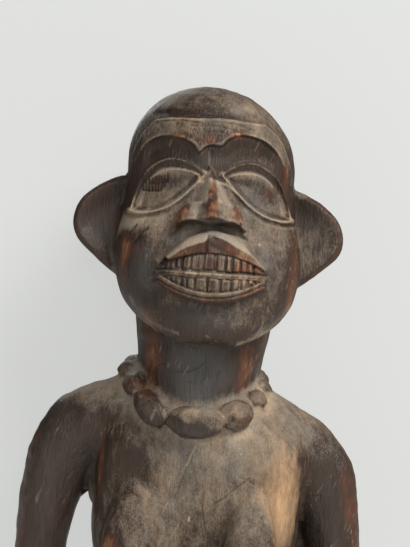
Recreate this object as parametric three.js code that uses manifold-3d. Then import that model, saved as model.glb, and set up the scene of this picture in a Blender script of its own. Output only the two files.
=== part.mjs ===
// A carved wooden female figure, cut from one block together with its low oval base.
// Millimetres, +Z up. The origin is the centre of the base's underside, the face looks along -Y
// and +X is at the right of somebody who faces the carving.
import * as THREE from 'three';
import { mergeVertices } from 'three/addons/utils/BufferGeometryUtils.js';
import Module from 'manifold-3d';

const wasm = await Module();
wasm.setup();

// Driving dimensions: the heights that divide the figure, and the base.
const CROWN = 600;
const CHIN = 447;
const SHOULDER = 392;
const CROTCH = 203;
const BASE = { halfWidth: 80, halfDepth: 66, thick: 26, bevel: 3 };

// The face leans: its middle line starts left of the figure's middle at the hairline and ends right
// of it at the chin.
const HAIRLINE = 573.5;
const LEAN = { start: -2, slope: 0.0625 };

// The head in level sections: height, middle x and y, half width, depth to front and back, squareness.
const HEAD = [
  { z: 436, x: 5, y: -14, width: 26, front: 44, back: 44, square: 2.3 },
  { z: 448, x: 4.5, y: -14, width: 33, front: 47, back: 50, square: 2.3 },
  { z: 461, x: 3, y: -13, width: 42.5, front: 50, back: 56, square: 2.35 },
  { z: 475, x: 1.8, y: -12, width: 50.5, front: 50, back: 62, square: 2.35 },
  { z: 491, x: 1, y: -12, width: 54, front: 49, back: 68, square: 2.35 },
  { z: 506, x: 0.3, y: -11, width: 53.8, front: 47, back: 72, square: 2.35 },
  { z: 520, x: 0, y: -9, width: 51, front: 44.5, back: 73, square: 2.3 },
  { z: 536, x: 0, y: -6, width: 49.8, front: 43, back: 71, square: 2.25 },
  { z: 551, x: -0.5, y: -3, width: 50, front: 47.5, back: 67, square: 2.2 },
  { z: 565, x: -1, y: 0, width: 48.3, front: 50, back: 60, square: 2.15 },
  { z: 576, x: -1.8, y: 2, width: 43.5, front: 47, back: 51, square: 2.1 },
  { z: 586, x: -2.4, y: 4, width: 35.8, front: 39.5, back: 40, square: 2.05 },
  { z: 593.5, x: -2.8, y: 5, width: 26.5, front: 29, back: 28, square: 2 },
  { z: 598.3, x: -3, y: 5, width: 14.5, front: 16, back: 15, square: 2 },
  { z: CROWN, x: -3, y: 5, width: 3, front: 3, back: 3, square: 2 },
];

// The jaw's underside is one plane that rises to the back.
const JAW = { frontY: -61, slope: 0.6 };

// The cap of hair lies a little behind the face: the edge between them in side view, y and z.
const CAP = {
  step: 1.5, nape: 420,
  edge: [[-90, HAIRLINE], [-35, HAIRLINE], [-22, 548], [-12, 522], [-9, 505], [-9, 420]],
};

// Features of the face, each from the face's middle line: distance out and height. The left brow
// ends in a hook, and the right one is a little higher.
const ORBIT = {
  deep: 3.6, back: -14,
  leftBrow: [[-0.5, 558.5], [3, 558], [6.7, 554.8], [11, 559.5], [18.5, 562.4], [27.3, 563], [35, 560],
    [41, 554], [60, 530]],
  rightBrow: [[-0.5, 558.5], [5.5, 558.5], [9.5, 562.6], [16.2, 565.5], [25, 565], [32, 562.5],
    [38, 557.5], [42.5, 550], [60, 530]],
  foot: [[60, 518], [42, 519], [24, 522], [8, 538], [-0.5, 541]],
};
const EYE = { out: 26.5, up: 534.5, halfLong: 18.5, halfHigh: 10, halfDeep: 5.3, fall: 26.5, turn: 24 };
const LID = [[7.5, 544], [14, 549.4], [24, 551], [33.5, 547], [40.5, 537.5], [44, 527]];
const LOWER_RIM = [[6, 543], [12.5, 535], [20, 527.5], [30, 521.6], [39, 520], [44.6, 522.5]];
const RIM = { lidRadius: 1.2, lidProud: 0.5, lowerRadius: 1.7, lowerProud: -1.2 };

const NOSE = [
  { z: 504, x: 1.8, y: -50, width: 14, front: 18, back: 8, square: 1.4 },
  { z: 511.5, x: 1.6, y: -50, width: 15, front: 23.5, back: 8, square: 1.4 },
  { z: 517, x: 1.4, y: -50, width: 15, front: 25.5, back: 8, square: 1.35 },
  { z: 524, x: 1, y: -48, width: 11.5, front: 21, back: 8, square: 1.35 },
  { z: 534, x: 0.4, y: -44, width: 7, front: 15, back: 6, square: 1.4 },
  { z: 544.5, x: -0.3, y: -40, width: 2, front: 8, back: 4, square: 1.5 },
];
const NOSTRIL = { out: 12.4, y: -56, z: 517.5, halfWidth: 7.8, halfDepth: 10, halfHeight: 8.5 };
const NOSE_FOOT = { frontY: -75, frontZ: 517, slope: -0.5 };

// The mouth: lips are crescents between two arcs, cut out of one rounded muzzle.
const MOUTH = {
  halfWidth: 28.5, lipCorner: 3, cornerUp: 491, lowCornerUp: 484.5,
  lipTop: 509.5, lipUnder: 498.5, gap: 488.3, gapHalf: 0.9, teethFoot: 479.5, lipFoot: 472.7,
};
const MUZZLE = { x: 3.4, y: -30, z: 489, halfWidth: 42, halfDepth: 47, halfHeight: 42 };
const TEETH = {
  front: -90, back: -45, setBack: 2.6, count: 10, overlap: 1, sideGap: 5,
  groove: 0.9, grooveDeep: 2.2, grooveLong: 30, grooveReach: 45,
};

// Disc ears: the outline of the half that shows, and the shallow dish in its front.
const EAR = {
  edge: [[44, 545], [52, 543.5], [64, 538.5], [72.5, 532], [78.5, 524], [80.7, 513.5], [77, 504],
    [66, 493.5], [54, 485], [44, 483]],
  front: -3, thick: 10, turn: -10, rightDrop: 3,
  dish: { out: 58, up: 515, halfWidth: 20, halfDepth: 3.4, halfHeight: 23, lean: 20 },
};

const NECK = [
  { z: 396, x: 1, y: 2, width: 27, front: 34, back: 30, square: 2.1 },
  { z: 414, x: 0.7, y: 2, width: 31.5, front: 37.5, back: 33, square: 2.1 },
  { z: 430, x: 0.3, y: 2, width: 36.3, front: 40, back: 36, square: 2.1 },
  { z: 455, x: 1, y: 2, width: 40.6, front: 42, back: 42, square: 2.1 },
  { z: 482, x: 1, y: 2, width: 43, front: 38, back: 49, square: 2.1 },
  { z: 508, x: 1, y: 2, width: 38, front: 24, back: 53, square: 2.1 },
];
const NECK_FACET = { y: -35.4, low: 408, high: 470 };

// The bead string is a ring that is wider to the left. Each carved bead has its place on it as an
// angle from the front, its height, its half sizes, and how many degrees its right end is turned up.
const STRING = { x: 1, left: 42.5, right: 36.5, front: 45, back: 38 };
const BEADS = [
  { angle: -1.5, z: 406, long: 17.6, thick: 9.5, high: 10.2, up: 0 },
  { angle: -38, z: 410.5, long: 14.5, thick: 9, high: 8.2, up: -34 },
  { angle: -60, z: 422, long: 10, thick: 8, high: 7.2, up: -24 },
  { angle: -86, z: 428, long: 10, thick: 7.5, high: 6, up: -8 },
  { angle: 35.7, z: 409.8, long: 11.8, thick: 9, high: 9.8, up: 20 },
  { angle: 63, z: 416, long: 9, thick: 7.5, high: 7.8, up: 16 },
  { angle: 84, z: 421, long: 9.5, thick: 7.2, high: 7, up: 8 },
];
const BACK_BEADS = { from: 106, to: 250, count: 7, z: 425, rise: 8, tilt: 0.05, long: 11, thick: 8, high: 7 };

const BODY = [
  { z: 196, x: 0, y: 4, width: 30, front: 15, back: 26, square: 2.2 },
  { z: 208, x: 0, y: 4, width: 49, front: 27, back: 37, square: 2.3 },
  { z: 226, x: 0, y: 3, width: 58, front: 39, back: 42, square: 2.3 },
  { z: 246, x: 1, y: 1, width: 55, front: 47, back: 35, square: 2.2 },
  { z: 268, x: 2, y: 0, width: 50, front: 46, back: 31, square: 2.2 },
  { z: 296, x: 4, y: 1, width: 52, front: 41, back: 32, square: 2.4 },
  { z: 330, x: 5.5, y: 2, width: 59, front: 41, back: 36, square: 2.6 },
  { z: 362, x: 6, y: 2, width: 61.5, front: 41, back: 38, square: 2.6 },
  { z: 388, x: 5.5, y: 2, width: 62.5, front: 43, back: 37, square: 2.4 },
  { z: 408, x: 1, y: 2, width: 54, front: 41, back: 32, square: 2.2 },
  { z: 424, x: -3, y: 2, width: 40.5, front: 34, back: 26, square: 2 },
];

// Limbs run through stations: centre, half width and half depth. They are given for the right side.
// The right shoulder hangs lower than the left one, and both arms go on alike.
const LEFT_SHOULDER = [
  { at: [34, 3, SHOULDER + 6], half: [25, 26] }, { at: [61, 3, SHOULDER + 2.5], half: [23.5, 24] },
  { at: [77, 3, SHOULDER - 14], half: [21.5, 21] }, { at: [84.5, 3, 352], half: [18.5, 18.5] },
];
const RIGHT_SHOULDER = [
  { at: [34, 3, SHOULDER + 3], half: [24, 26] }, { at: [58, 3, SHOULDER - 4], half: [22.5, 24] },
  { at: [75.5, 3, SHOULDER - 20], half: [21.5, 21] }, { at: [84, 3, 347], half: [18.5, 18.5] },
];
const ARM = [
  { at: [88.5, 3, 315], half: [15.5, 17] }, { at: [89, 7, 276], half: [14.5, 15.5] },
  { at: [83, -1, 252], half: [14, 14.5] },
  { at: [70, -22, 243], half: [12, 12.5] }, { at: [54, -38, 240], half: [10, 10.5] },
  { at: [43, -44, 240], half: [8.5, 12] },
];
const HAND = { out: 33, y: -46, z: 240, long: 19, deep: 7.5, high: 13.5, turn: 12 };
const FINGER = { grooves: 3, pitch: 6.2, wide: 1.2, deep: 3, long: 17 };

// The left armpit is filled a little way down.
const ARMPIT = { x: -60, y: 3, z: 366, halfWidth: 9, halfDepth: 15, halfHeight: 10.5 };

// The right arm isn't cut free of the body: a thin wall of wood is left at the back of the groove.
const WEB = { front: 4, back: 14, edge: [[54, 386], [80, 386], [82, 268], [70, 258], [50, 264]] };

const BREAST = {
  out: 33, shift: 1, y: -40, z: 322, halfWidth: 17.5, halfDepth: 19, halfHeight: 47, lean: -11,
};
const NIPPLE = { y: -61.5, z: 296, radius: 4.2 };
const NAVEL = { x: 1, y: -46.5, z: 262, radius: 5 };

const LEG = [
  { at: [29, 5, 232], half: [25, 31] }, { at: [30.5, 3, CROTCH], half: [28, 31] },
  { at: [33, -1, 176], half: [27, 27.5] },
  { at: [35, -4, 150], half: [24.5, 24.5] }, { at: [37, -8, 118], half: [21, 22] },
  { at: [37, -2, 88], half: [21.5, 23] }, { at: [36.5, 6, 56], half: [16.5, 17] },
  { at: [36.5, 7, 30], half: [16, 17] },
];
const BUTTOCK = { out: 27, y: 24, z: 214, halfWidth: 27, halfDepth: 26, halfHeight: 30 };
const FOOT = { out: 38, y: -12, halfWidth: 18.5, halfDepth: 38, halfHeight: 22 };
const TOE = { grooves: 4, pitch: 6.6, wide: 1.4, deep: 10, long: 17 };

// How finely the rounded forms are faceted.
const SIDES = { head: 32, body: 26, neck: 22, nose: 12, limb: 12, base: 36, bead: 7 };

// The least half size of a section that is drawn in.
const THIN = 0.2;

// How often a height is halved to find its section, and how near a point may come to a section's side.
const FINE_STEPS = 24;
const EDGE = 0.005;

// A length that reaches past the head on every side, for cutting bodies.
const REACH = 90;

const radians = THREE.MathUtils.degToRad;

// The face's middle line at a height.
function middle(z) {
  return LEAN.start + LEAN.slope * (HAIRLINE - z);
}

// A three.js geometry as a solid for joining and cutting.
function solid(geometry) {
  const bare = geometry.clone();
  bare.deleteAttribute('normal');
  bare.deleteAttribute('uv');
  const merged = mergeVertices(bare, 1e-4);
  return new wasm.Manifold(new wasm.Mesh({
    numProp: 3,
    vertProperties: new Float32Array(merged.attributes.position.array),
    triVerts: new Uint32Array(merged.index.array),
  }));
}

// All of a list's solids in one.
function joined(solids) {
  return solids.reduce((whole, next) => whole.add(next));
}

// A solid as a three.js geometry with flat facets.
function geometryOf(body) {
  const mesh = body.getMesh();
  const geometry = new THREE.BufferGeometry();
  const places = new Float32Array(mesh.vertProperties);
  geometry.setAttribute('position', new THREE.BufferAttribute(places, mesh.numProp));
  geometry.setIndex(new THREE.BufferAttribute(new Uint32Array(mesh.triVerts), 1));
  const flat = geometry.toNonIndexed();
  flat.computeVertexNormals();
  return flat;
}

// The value of a smooth curve through a list of numbers, at a place counted in list items.
function smooth(list, key, place) {
  const last = list.length - 1;
  const i = Math.min(Math.floor(place), last - 1);
  const t = place - i;
  const [a, b, c, d] = [Math.max(i - 1, 0), i, i + 1, Math.min(i + 2, last)].map((k) => list[k][key]);
  const bend = (2 * a - 5 * b + 4 * c - d) * t * t + (3 * b - a - 3 * c + d) * t * t * t;
  return b + 0.5 * ((c - a) * t + bend);
}

// A section's values at a place counted in sections, drawn in by an even distance.
function sectionAt(sections, place, drawnIn = 0) {
  const s = {};
  for (const key of Object.keys(sections[0])) s[key] = smooth(sections, key, place);
  for (const key of ['width', 'front', 'back']) s[key] = Math.max(s[key] - drawnIn, THIN);
  return s;
}

// A point on a section's edge, in the direction of an angle.
function edgePoint(s, angle) {
  const power = (value) => Math.sign(value) * Math.abs(value) ** (2 / s.square);
  const across = power(Math.sin(angle));
  const along = power(Math.cos(angle));
  return new THREE.Vector2(s.x + s.width * across, s.y - (along > 0 ? s.front : s.back) * along);
}

// A closed body through level sections.
function loft(sections, sides, drawnIn = 0) {
  const geometry = new THREE.CylinderGeometry(1, 1, 1, sides, sections.length - 1);
  const place = geometry.attributes.position;
  for (let i = 0; i < place.count; i += 1) {
    const s = sectionAt(sections, (place.getY(i) + 0.5) * (sections.length - 1), drawnIn);
    const onAxis = Math.hypot(place.getX(i), place.getZ(i)) < 0.5;
    const angle = Math.atan2(place.getX(i), place.getZ(i));
    const edge = onAxis ? new THREE.Vector2(s.x, s.y) : edgePoint(s, angle);
    place.setXYZ(i, edge.x, edge.y, s.z);
  }
  return solid(geometry);
}

// A closed limb along a smooth curve, with its half width and half depth changing on the way.
function limb(stations, side, rows = stations.length + 3) {
  const places = stations.map(({ at }) => new THREE.Vector3(side * at[0], at[1], at[2]));
  const halves = stations.map(({ half }) => new THREE.Vector3(half[0], half[1], 0));
  const path = new THREE.CatmullRomCurve3(places);
  const sizes = new THREE.CatmullRomCurve3(halves);
  const geometry = new THREE.CylinderGeometry(1, 1, 1, SIDES.limb, rows);
  const place = geometry.attributes.position;
  const forward = new THREE.Vector3(0, 1, 0);
  for (let i = 0; i < place.count; i += 1) {
    const t = place.getY(i) + 0.5;
    const along = path.getTangent(t);
    const across = new THREE.Vector3().crossVectors(forward, along).normalize();
    const deep = new THREE.Vector3().crossVectors(along, across);
    const half = sizes.getPoint(t);
    const point = path.getPoint(t);
    point.addScaledVector(across, -place.getX(i) * half.x);
    point.addScaledVector(deep, place.getZ(i) * half.y);
    place.setXYZ(i, point.x, point.y, point.z);
  }
  return solid(geometry);
}

// An egg-like body: a sphere scaled to three half sizes, turned and moved.
function egg(x, y, z, halfWidth, halfDepth, halfHeight, turn = [0, 0, 0], around = 12, up = 8) {
  const geometry = new THREE.SphereGeometry(1, around, up);
  geometry.rotateX(Math.PI / 2).scale(halfWidth, halfDepth, halfHeight);
  geometry.rotateX(radians(turn[0])).rotateY(radians(turn[1])).rotateZ(radians(turn[2]));
  return solid(geometry.translate(x, y, z));
}

// A box with its middle at a point, turned about the three axes in order.
function block(x, y, z, width, depth, height, turn = [0, 0, 0]) {
  const geometry = new THREE.BoxGeometry(width, depth, height);
  geometry.rotateX(radians(turn[0])).rotateY(radians(turn[1])).rotateZ(radians(turn[2]));
  return solid(geometry.translate(x, y, z));
}

// A block that lies under a plane through a point in side view, with the plane's slope to the back.
function under(y, z, slope) {
  const long = 2 * REACH;
  const turn = THREE.MathUtils.radToDeg(Math.atan(slope));
  return block(0, 0, -REACH, long, long, long).rotate([turn, 0, 0]).translate([0, y, z]);
}

// A prism along Y over an outline given in x and z, between two depths.
function prismAlongY(outline, fromY, toY) {
  const shape = new THREE.Shape(outline.map(([x, z]) => new THREE.Vector2(x, z)));
  const geometry = new THREE.ExtrudeGeometry(shape, { depth: toY - fromY, bevelEnabled: false });
  return solid(geometry.rotateX(Math.PI / 2).translate(0, toY, 0));
}

// A prism along X over an outline given in y and z, across the whole head.
function prismAlongX(outline, halfLong) {
  const shape = new THREE.Shape(outline.map(([y, z]) => new THREE.Vector2(y, z)));
  const geometry = new THREE.ExtrudeGeometry(shape, { depth: 2 * halfLong, bevelEnabled: false });
  return solid(geometry.rotateY(Math.PI / 2).rotateX(Math.PI / 2).translate(-halfLong, 0, 0));
}

// How far forward the head's surface is at a point of the face. The section is found by halving.
function faceY(x, z) {
  let low = 0;
  let high = HEAD.length - 1;
  for (let i = 0; i < FINE_STEPS; i += 1) {
    const half = (low + high) / 2;
    if (smooth(HEAD, 'z', half) < z) low = half;
    else high = half;
  }
  const s = sectionAt(HEAD, low);
  const out = Math.min(Math.abs(x - s.x) / s.width, 1 - EDGE);
  return s.y - s.front * (1 - out ** s.square) ** (1 / s.square);
}

// A raised rim that follows the face along a curve of points from its middle line.
function rim(points, side, radius, proud) {
  const places = points.map(([out, z]) => {
    const x = middle(z) + side * out;
    return new THREE.Vector3(x, faceY(x, z) - proud, z);
  });
  const round = new THREE.Shape().absarc(0, 0, radius, 0, 2 * Math.PI, false);
  const path = new THREE.CatmullRomCurve3(places);
  return solid(new THREE.ExtrudeGeometry(round, { steps: 8, curveSegments: 2, extrudePath: path }));
}

// The points of an arc that rises or falls by an amount at its middle, from left to right.
function arc(halfWidth, cornerZ, middleZ, points = 9) {
  const list = [];
  for (let i = 0; i < points; i += 1) {
    const out = -1 + (2 * i) / (points - 1);
    list.push([MUZZLE.x + out * halfWidth, cornerZ + (middleZ - cornerZ) * (1 - out * out)]);
  }
  return list;
}

// The muzzle's rounded form, drawn in by a distance.
function muzzle(drawnIn) {
  const { x, y, z, halfWidth, halfDepth, halfHeight } = MUZZLE;
  return egg(x, y, z, halfWidth - drawnIn, halfDepth - drawnIn, halfHeight - drawnIn, [0, 0, 0], 20, 12);
}

// The two lips, each a crescent between two arcs.
function lips() {
  const { halfWidth, lipCorner, cornerUp, lowCornerUp, lipTop, lipUnder, teethFoot, lipFoot } = MOUTH;
  const inside = halfWidth - lipCorner;
  const upper = [...arc(halfWidth, cornerUp, lipTop), ...arc(inside, cornerUp, lipUnder).reverse()];
  const lower = [...arc(inside, lowCornerUp, teethFoot), ...arc(halfWidth, lowCornerUp, lipFoot).reverse()];
  const crescents = [upper, lower].map((edge) => prismAlongY(edge, TEETH.front, TEETH.back));
  return joined(crescents).intersect(muzzle(0));
}

// Two rows of teeth, parted by a gap and by upright grooves.
function teeth() {
  const { halfWidth, cornerUp, lowCornerUp, lipUnder, gap, gapHalf, teethFoot } = MOUTH;
  const { front, back, setBack, count, overlap, sideGap } = TEETH;
  const { groove, grooveDeep, grooveLong, grooveReach } = TEETH;
  const top = arc(halfWidth - 2 * overlap, cornerUp, lipUnder + overlap);
  const foot = arc(halfWidth - 2 * overlap, lowCornerUp, teethFoot - overlap).reverse();
  const row = prismAlongY([...top, ...foot], front, back).intersect(muzzle(setBack));
  const middleY = front + grooveReach / 2;
  const cuts = [block(MUZZLE.x, middleY, gap, 2 * halfWidth, grooveReach, 2 * gapHalf)];
  const pitch = (2 * (halfWidth - sideGap)) / count;
  for (let i = 1; i < count; i += 1) {
    const x = MUZZLE.x + (i - count / 2) * pitch;
    cuts.push(block(x, middleY, gap, groove, grooveReach, grooveLong));
  }
  return row.subtract(joined(cuts).subtract(muzzle(setBack + grooveDeep)));
}

// The wedge nose with two knobs for nostrils and a slanting underside.
function nose() {
  const { out, y, z, halfWidth, halfDepth, halfHeight } = NOSTRIL;
  const knobs = [-1, 1].map((side) => {
    const x = middle(z) + side * out;
    return egg(x, y, z, halfWidth, halfDepth, halfHeight, [0, 0, 0], 10, 6);
  });
  const below = under(NOSE_FOOT.frontY, NOSE_FOOT.frontZ, NOSE_FOOT.slope);
  return joined([loft(NOSE, SIDES.nose), ...knobs]).subtract(below);
}

// One dish of an eye, cut into the face.
function eyeDish(side) {
  const { out, up, halfLong, halfDeep, halfHigh, fall, turn } = EYE;
  const x = middle(up) + side * out;
  const y = faceY(x, up) + ORBIT.deep / 2;
  return egg(x, y, up, halfLong, halfDeep, halfHigh, [0, side * fall, side * turn], 14, 8);
}

// One disc ear, dished in front.
function ear(side) {
  const { edge, front, thick, turn, rightDrop, dish } = EAR;
  const outline = edge.map(([out, z]) => [side * out, z]);
  const disc = prismAlongY(outline, front, front + thick);
  const { out, up, halfWidth, halfDepth, halfHeight, lean } = dish;
  const hollow = egg(side * out, front, up, halfWidth, halfDepth, halfHeight, [0, side * lean, 0], 14, 6);
  return disc.subtract(hollow).rotate([0, 0, side * turn]).translate([0, 0, side > 0 ? -rightDrop : 0]);
}

// The head with its cap of hair, brows, eyes, nose, mouth and ears.
function head() {
  const whole = loft(HEAD, SIDES.head);
  const above = CROWN + REACH;
  const capArea = prismAlongX([...CAP.edge, [REACH, CAP.nape], [REACH, above], [-REACH, above]], REACH);
  const capStep = capArea.subtract(loft(HEAD, SIDES.head, CAP.step));
  const orbitSkin = loft(HEAD, SIDES.head, ORBIT.deep);
  const orbits = [[-1, ORBIT.leftBrow], [1, ORBIT.rightBrow]].map(([side, brow]) => {
    const edge = [...brow, ...ORBIT.foot].map(([out, z]) => [middle(z) + side * out, z]);
    return prismAlongY(edge, -REACH, ORBIT.back);
  });
  const underJaw = under(JAW.frontY, CHIN, JAW.slope);
  const cuts = joined([capStep, joined(orbits).subtract(orbitSkin), underJaw]);
  const rims = [-1, 1].flatMap((side) => [
    rim(LID, side, RIM.lidRadius, RIM.lidProud - ORBIT.deep),
    rim(LOWER_RIM, side, RIM.lowerRadius, RIM.lowerProud),
  ]);
  const dishes = joined([eyeDish(-1), eyeDish(1)]);
  return joined([whole.subtract(cuts).subtract(dishes), ...rims, nose(), lips(), teeth(), ear(-1), ear(1)]);
}

// The neck, with a flat facet in front.
function neck() {
  const { y, low, high } = NECK_FACET;
  const facet = block(0, y - REACH / 2, (low + high) / 2, REACH, REACH, high - low);
  return loft(NECK, SIDES.neck).subtract(facet);
}

// Where the bead string is in plan, at an angle from the front.
function stringAt(angle) {
  const across = Math.sin(radians(angle));
  const toFront = Math.cos(radians(angle));
  const x = STRING.x + (across < 0 ? STRING.left : STRING.right) * across;
  return [x, -(toFront > 0 ? STRING.front : STRING.back) * toFront];
}

// One carved bead on the string.
function bead({ angle, z, long, thick, high, up }) {
  return egg(...stringAt(angle), z, long, thick, high, [0, -up, angle], SIDES.bead, 5);
}

// The whole string of beads, round to the nape.
function beads() {
  const { from, to, count, z, rise, tilt, ...size } = BACK_BEADS;
  const all = [...BEADS];
  for (let i = 0; i < count; i += 1) {
    const angle = from + ((to - from) * i) / (count - 1);
    const up = z - rise * Math.cos(radians(angle)) - tilt * stringAt(angle)[0];
    all.push({ angle, z: up, up: 0, ...size });
  }
  return joined(all.map(bead));
}

// One hand, laid flat on the belly, with its fingers parted by grooves.
function hand(side) {
  const { out, y, z, long, deep, high, turn } = HAND;
  let palm = egg(side * out, y, z, long, deep, high, [0, 0, side * turn], 12, 6);
  for (let i = 0; i < FINGER.grooves; i += 1) {
    const up = z + (i - (FINGER.grooves - 1) / 2) * FINGER.pitch;
    const tip = side * (out - long + FINGER.long / 2);
    const groove = block(tip, y - deep, up, FINGER.long, 2 * FINGER.deep, FINGER.wide, [0, 0, side * turn]);
    palm = palm.subtract(groove);
  }
  return palm;
}

// A hanging breast with its nipple.
function breast(side) {
  const { out, y, z, halfWidth, halfDepth, halfHeight, lean } = BREAST;
  const x = side * out + BREAST.shift;
  const { radius } = NIPPLE;
  const form = egg(x, y, z, halfWidth, halfDepth, halfHeight, [lean, 0, 0], 12, 10);
  return form.add(egg(x, NIPPLE.y, NIPPLE.z, radius, radius, radius, [0, 0, 0], 8, 5));
}

// One half of the seat.
function buttock(side) {
  const { out, y, z, halfWidth, halfDepth, halfHeight } = BUTTOCK;
  return egg(side * out, y, z, halfWidth, halfDepth, halfHeight);
}

// The body with breasts, navel, seat, the filled armpit and the wall of wood beside the right arm.
function torso() {
  const web = prismAlongY(WEB.edge, WEB.front, WEB.back);
  const { x, y, z, radius } = NAVEL;
  const navel = egg(x, y, z, radius, radius, radius, [0, 0, 0], 8, 6);
  const fold = egg(...Object.values(ARMPIT), [0, 0, 0], 8, 6);
  return joined([loft(BODY, SIDES.body), web, fold, navel, breast(-1), breast(1), buttock(-1), buttock(1)]);
}

// One leg with its foot, toes parted by grooves.
function leg(side) {
  const { out, y, halfWidth, halfDepth, halfHeight } = FOOT;
  let foot = egg(side * out, y, BASE.thick, halfWidth, halfDepth, halfHeight, [0, 0, 0], 12, 8);
  for (let i = 0; i < TOE.grooves; i += 1) {
    const x = side * out + (i - (TOE.grooves - 1) / 2) * TOE.pitch;
    const tip = y - halfDepth + TOE.long / 2;
    foot = foot.subtract(block(x, tip, BASE.thick + TOE.deep / 2 + 1, TOE.wide, TOE.long, TOE.deep));
  }
  return limb(LEG, side).add(foot);
}

// The low oval base with a worn upper edge.
function base() {
  const { halfWidth, halfDepth, thick, bevel } = BASE;
  const profile = [[0, 0], [1, 0], [1, thick - bevel], [1 - bevel / halfWidth, thick], [0, thick]];
  const round = new THREE.LatheGeometry(profile.map(([r, z]) => new THREE.Vector2(r, z)), SIDES.base);
  return solid(round.rotateX(Math.PI / 2).scale(halfWidth, halfDepth, 1));
}

const arms = [limb([...LEFT_SHOULDER, ...ARM], -1), limb([...RIGHT_SHOULDER, ...ARM], 1)];
const carving = joined([
  base(), leg(-1), leg(1), torso(), ...arms, hand(-1), hand(1), neck(), beads(), head(),
]);

const darkWood = new THREE.MeshStandardMaterial({ color: 0x4d423a, roughness: 0.62, metalness: 0 });
const figure = new THREE.Mesh(geometryOf(carving), darkWood);
figure.name = 'figure';

const part = new THREE.Group();
part.add(figure);
export default part;
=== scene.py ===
"""A carved wooden female figure: its fine carving, its worn and dusty finish, and the studio.

The carving's sizes are in millimetres, in the figure's own frame: +Z up, the face looks along -Y,
and the origin is the centre of the base's underside. They become metres where a mesh is made.
The forms are worked out as distances to a surface, which are blended, meshed and then refined.
"""

import logging
import math
from collections.abc import Callable, Mapping, Sequence
from dataclasses import dataclass, field
from enum import Enum

import bpy
import numpy as np
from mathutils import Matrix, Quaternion, Vector


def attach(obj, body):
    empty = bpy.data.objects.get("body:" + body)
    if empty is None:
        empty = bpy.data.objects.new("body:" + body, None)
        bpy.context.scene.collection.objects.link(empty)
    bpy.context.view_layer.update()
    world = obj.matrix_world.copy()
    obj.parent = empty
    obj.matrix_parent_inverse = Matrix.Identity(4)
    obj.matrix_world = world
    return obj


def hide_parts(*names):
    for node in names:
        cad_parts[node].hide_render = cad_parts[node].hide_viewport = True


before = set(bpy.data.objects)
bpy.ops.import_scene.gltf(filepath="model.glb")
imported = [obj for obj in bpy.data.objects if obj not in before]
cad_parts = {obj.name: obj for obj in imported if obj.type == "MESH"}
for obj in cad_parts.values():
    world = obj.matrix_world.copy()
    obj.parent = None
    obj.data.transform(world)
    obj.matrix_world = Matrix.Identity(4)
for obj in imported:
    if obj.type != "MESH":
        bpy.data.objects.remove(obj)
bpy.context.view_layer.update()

LOG = logging.getLogger("figure")
Array = np.ndarray
Socket = bpy.types.NodeSocket
Sockets = Mapping[str, Socket]
Inputs = Mapping[str | int, object]
Pair = tuple[float, float]
Triple = tuple[float, float, float]
Stations = Sequence[tuple[float, ...]]
Coat = dict[str, Array]

MM = 0.001
FAR = 60.0
REACH = 20.0
TINY = 1e-6
CELL_KEYS = np.array([73856093, 19349663, 83492791])
SEED_KEY = 2654435761
MIX_KEYS = (1274126177, 668265263)
ONE_CUT = ((0, 3, 2), (3, 1, 2))
TWO_CUTS = ((3, 1, 4), (0, 3, 4), (0, 4, 2))
THREE_CUTS = ((0, 3, 5), (3, 1, 4), (5, 4, 2), (3, 4, 5))


class Where(Enum):
    """Regions of the carving that need triangles of different sizes, in millimetres."""

    MARK = 0.65
    TEETH = 0.66
    EYES = 0.85
    FACE = 1.2
    BEADS = 1.25
    FRONT = 2.4
    HANDS = 2.6
    HEAD = 3.4
    REST = 4.6


def step(value: Array, low: float, high: float) -> Array:
    """Rise smoothly from 0 to 1.

    Args:
        value: The numbers to map.
        low: Where the rise starts.
        high: Where it ends.

    Returns:
        0 below low, 1 above high and a smooth rise between.
    """
    t = np.clip((value - low) / (high - low), 0, 1)
    return t * t * (3 - 2 * t)


def union(a: Array, b: Array, width: float | Array) -> Array:
    """Join two forms with a fillet.

    Args:
        a: Distances to the first form.
        b: Distances to the second form.
        width: How wide the fillet is.

    Returns:
        Distances to the joined form.
    """
    t = np.clip(0.5 + 0.5 * (b - a) / width, 0, 1)
    return b + (a - b) * t - width * t * (1 - t)


def common(a: Array, b: Array, width: float | Array) -> Array:
    """Distances to what two forms share, with a rounded edge of a width."""
    return -union(-a, -b, width)


def bell(distance: Array, width: float) -> Array:
    """A soft ridge: 1 at no distance, falling off over a width."""
    return np.exp(-((distance / width) ** 2))


def smooth_curve(points: Sequence[Sequence[float]], per_span: int) -> Array:
    """Draw a smooth curve through points.

    Args:
        points: The points, of any one dimension.
        per_span: How many steps are made between two points.

    Returns:
        The curve's points, one row each.
    """
    given = np.array(points, dtype=float)
    padded = np.vstack([given[:1], given, given[-1:]])
    t = np.linspace(0, 1, per_span, endpoint=False)[:, None]
    rows = []
    for a, b, c, d in zip(padded, padded[1:], padded[2:], padded[3:]):
        bend = (2 * a - 5 * b + 4 * c - d) * t * t + (3 * b - a - 3 * c + d) * t**3
        rows.append(b + 0.5 * ((c - a) * t + bend))
    return np.vstack([*rows, given[-1:]])


def line_distance(x: Array, z: Array, line: Array) -> Array:
    """Measure the distance from points to an open line.

    Args:
        x: The points' first coordinates.
        z: Their second coordinates.
        line: The line's points, one row each.

    Returns:
        The least distance to the line.
    """
    best = np.full(x.shape, np.inf)
    for (ax, az), (bx, bz) in zip(line[:-1], line[1:]):
        dx, dz = bx - ax, bz - az
        t = np.clip(((x - ax) * dx + (z - az) * dz) / max(dx * dx + dz * dz, 1e-9), 0, 1)
        best = np.minimum(best, (x - ax - t * dx) ** 2 + (z - az - t * dz) ** 2)
    return np.sqrt(best)


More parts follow.
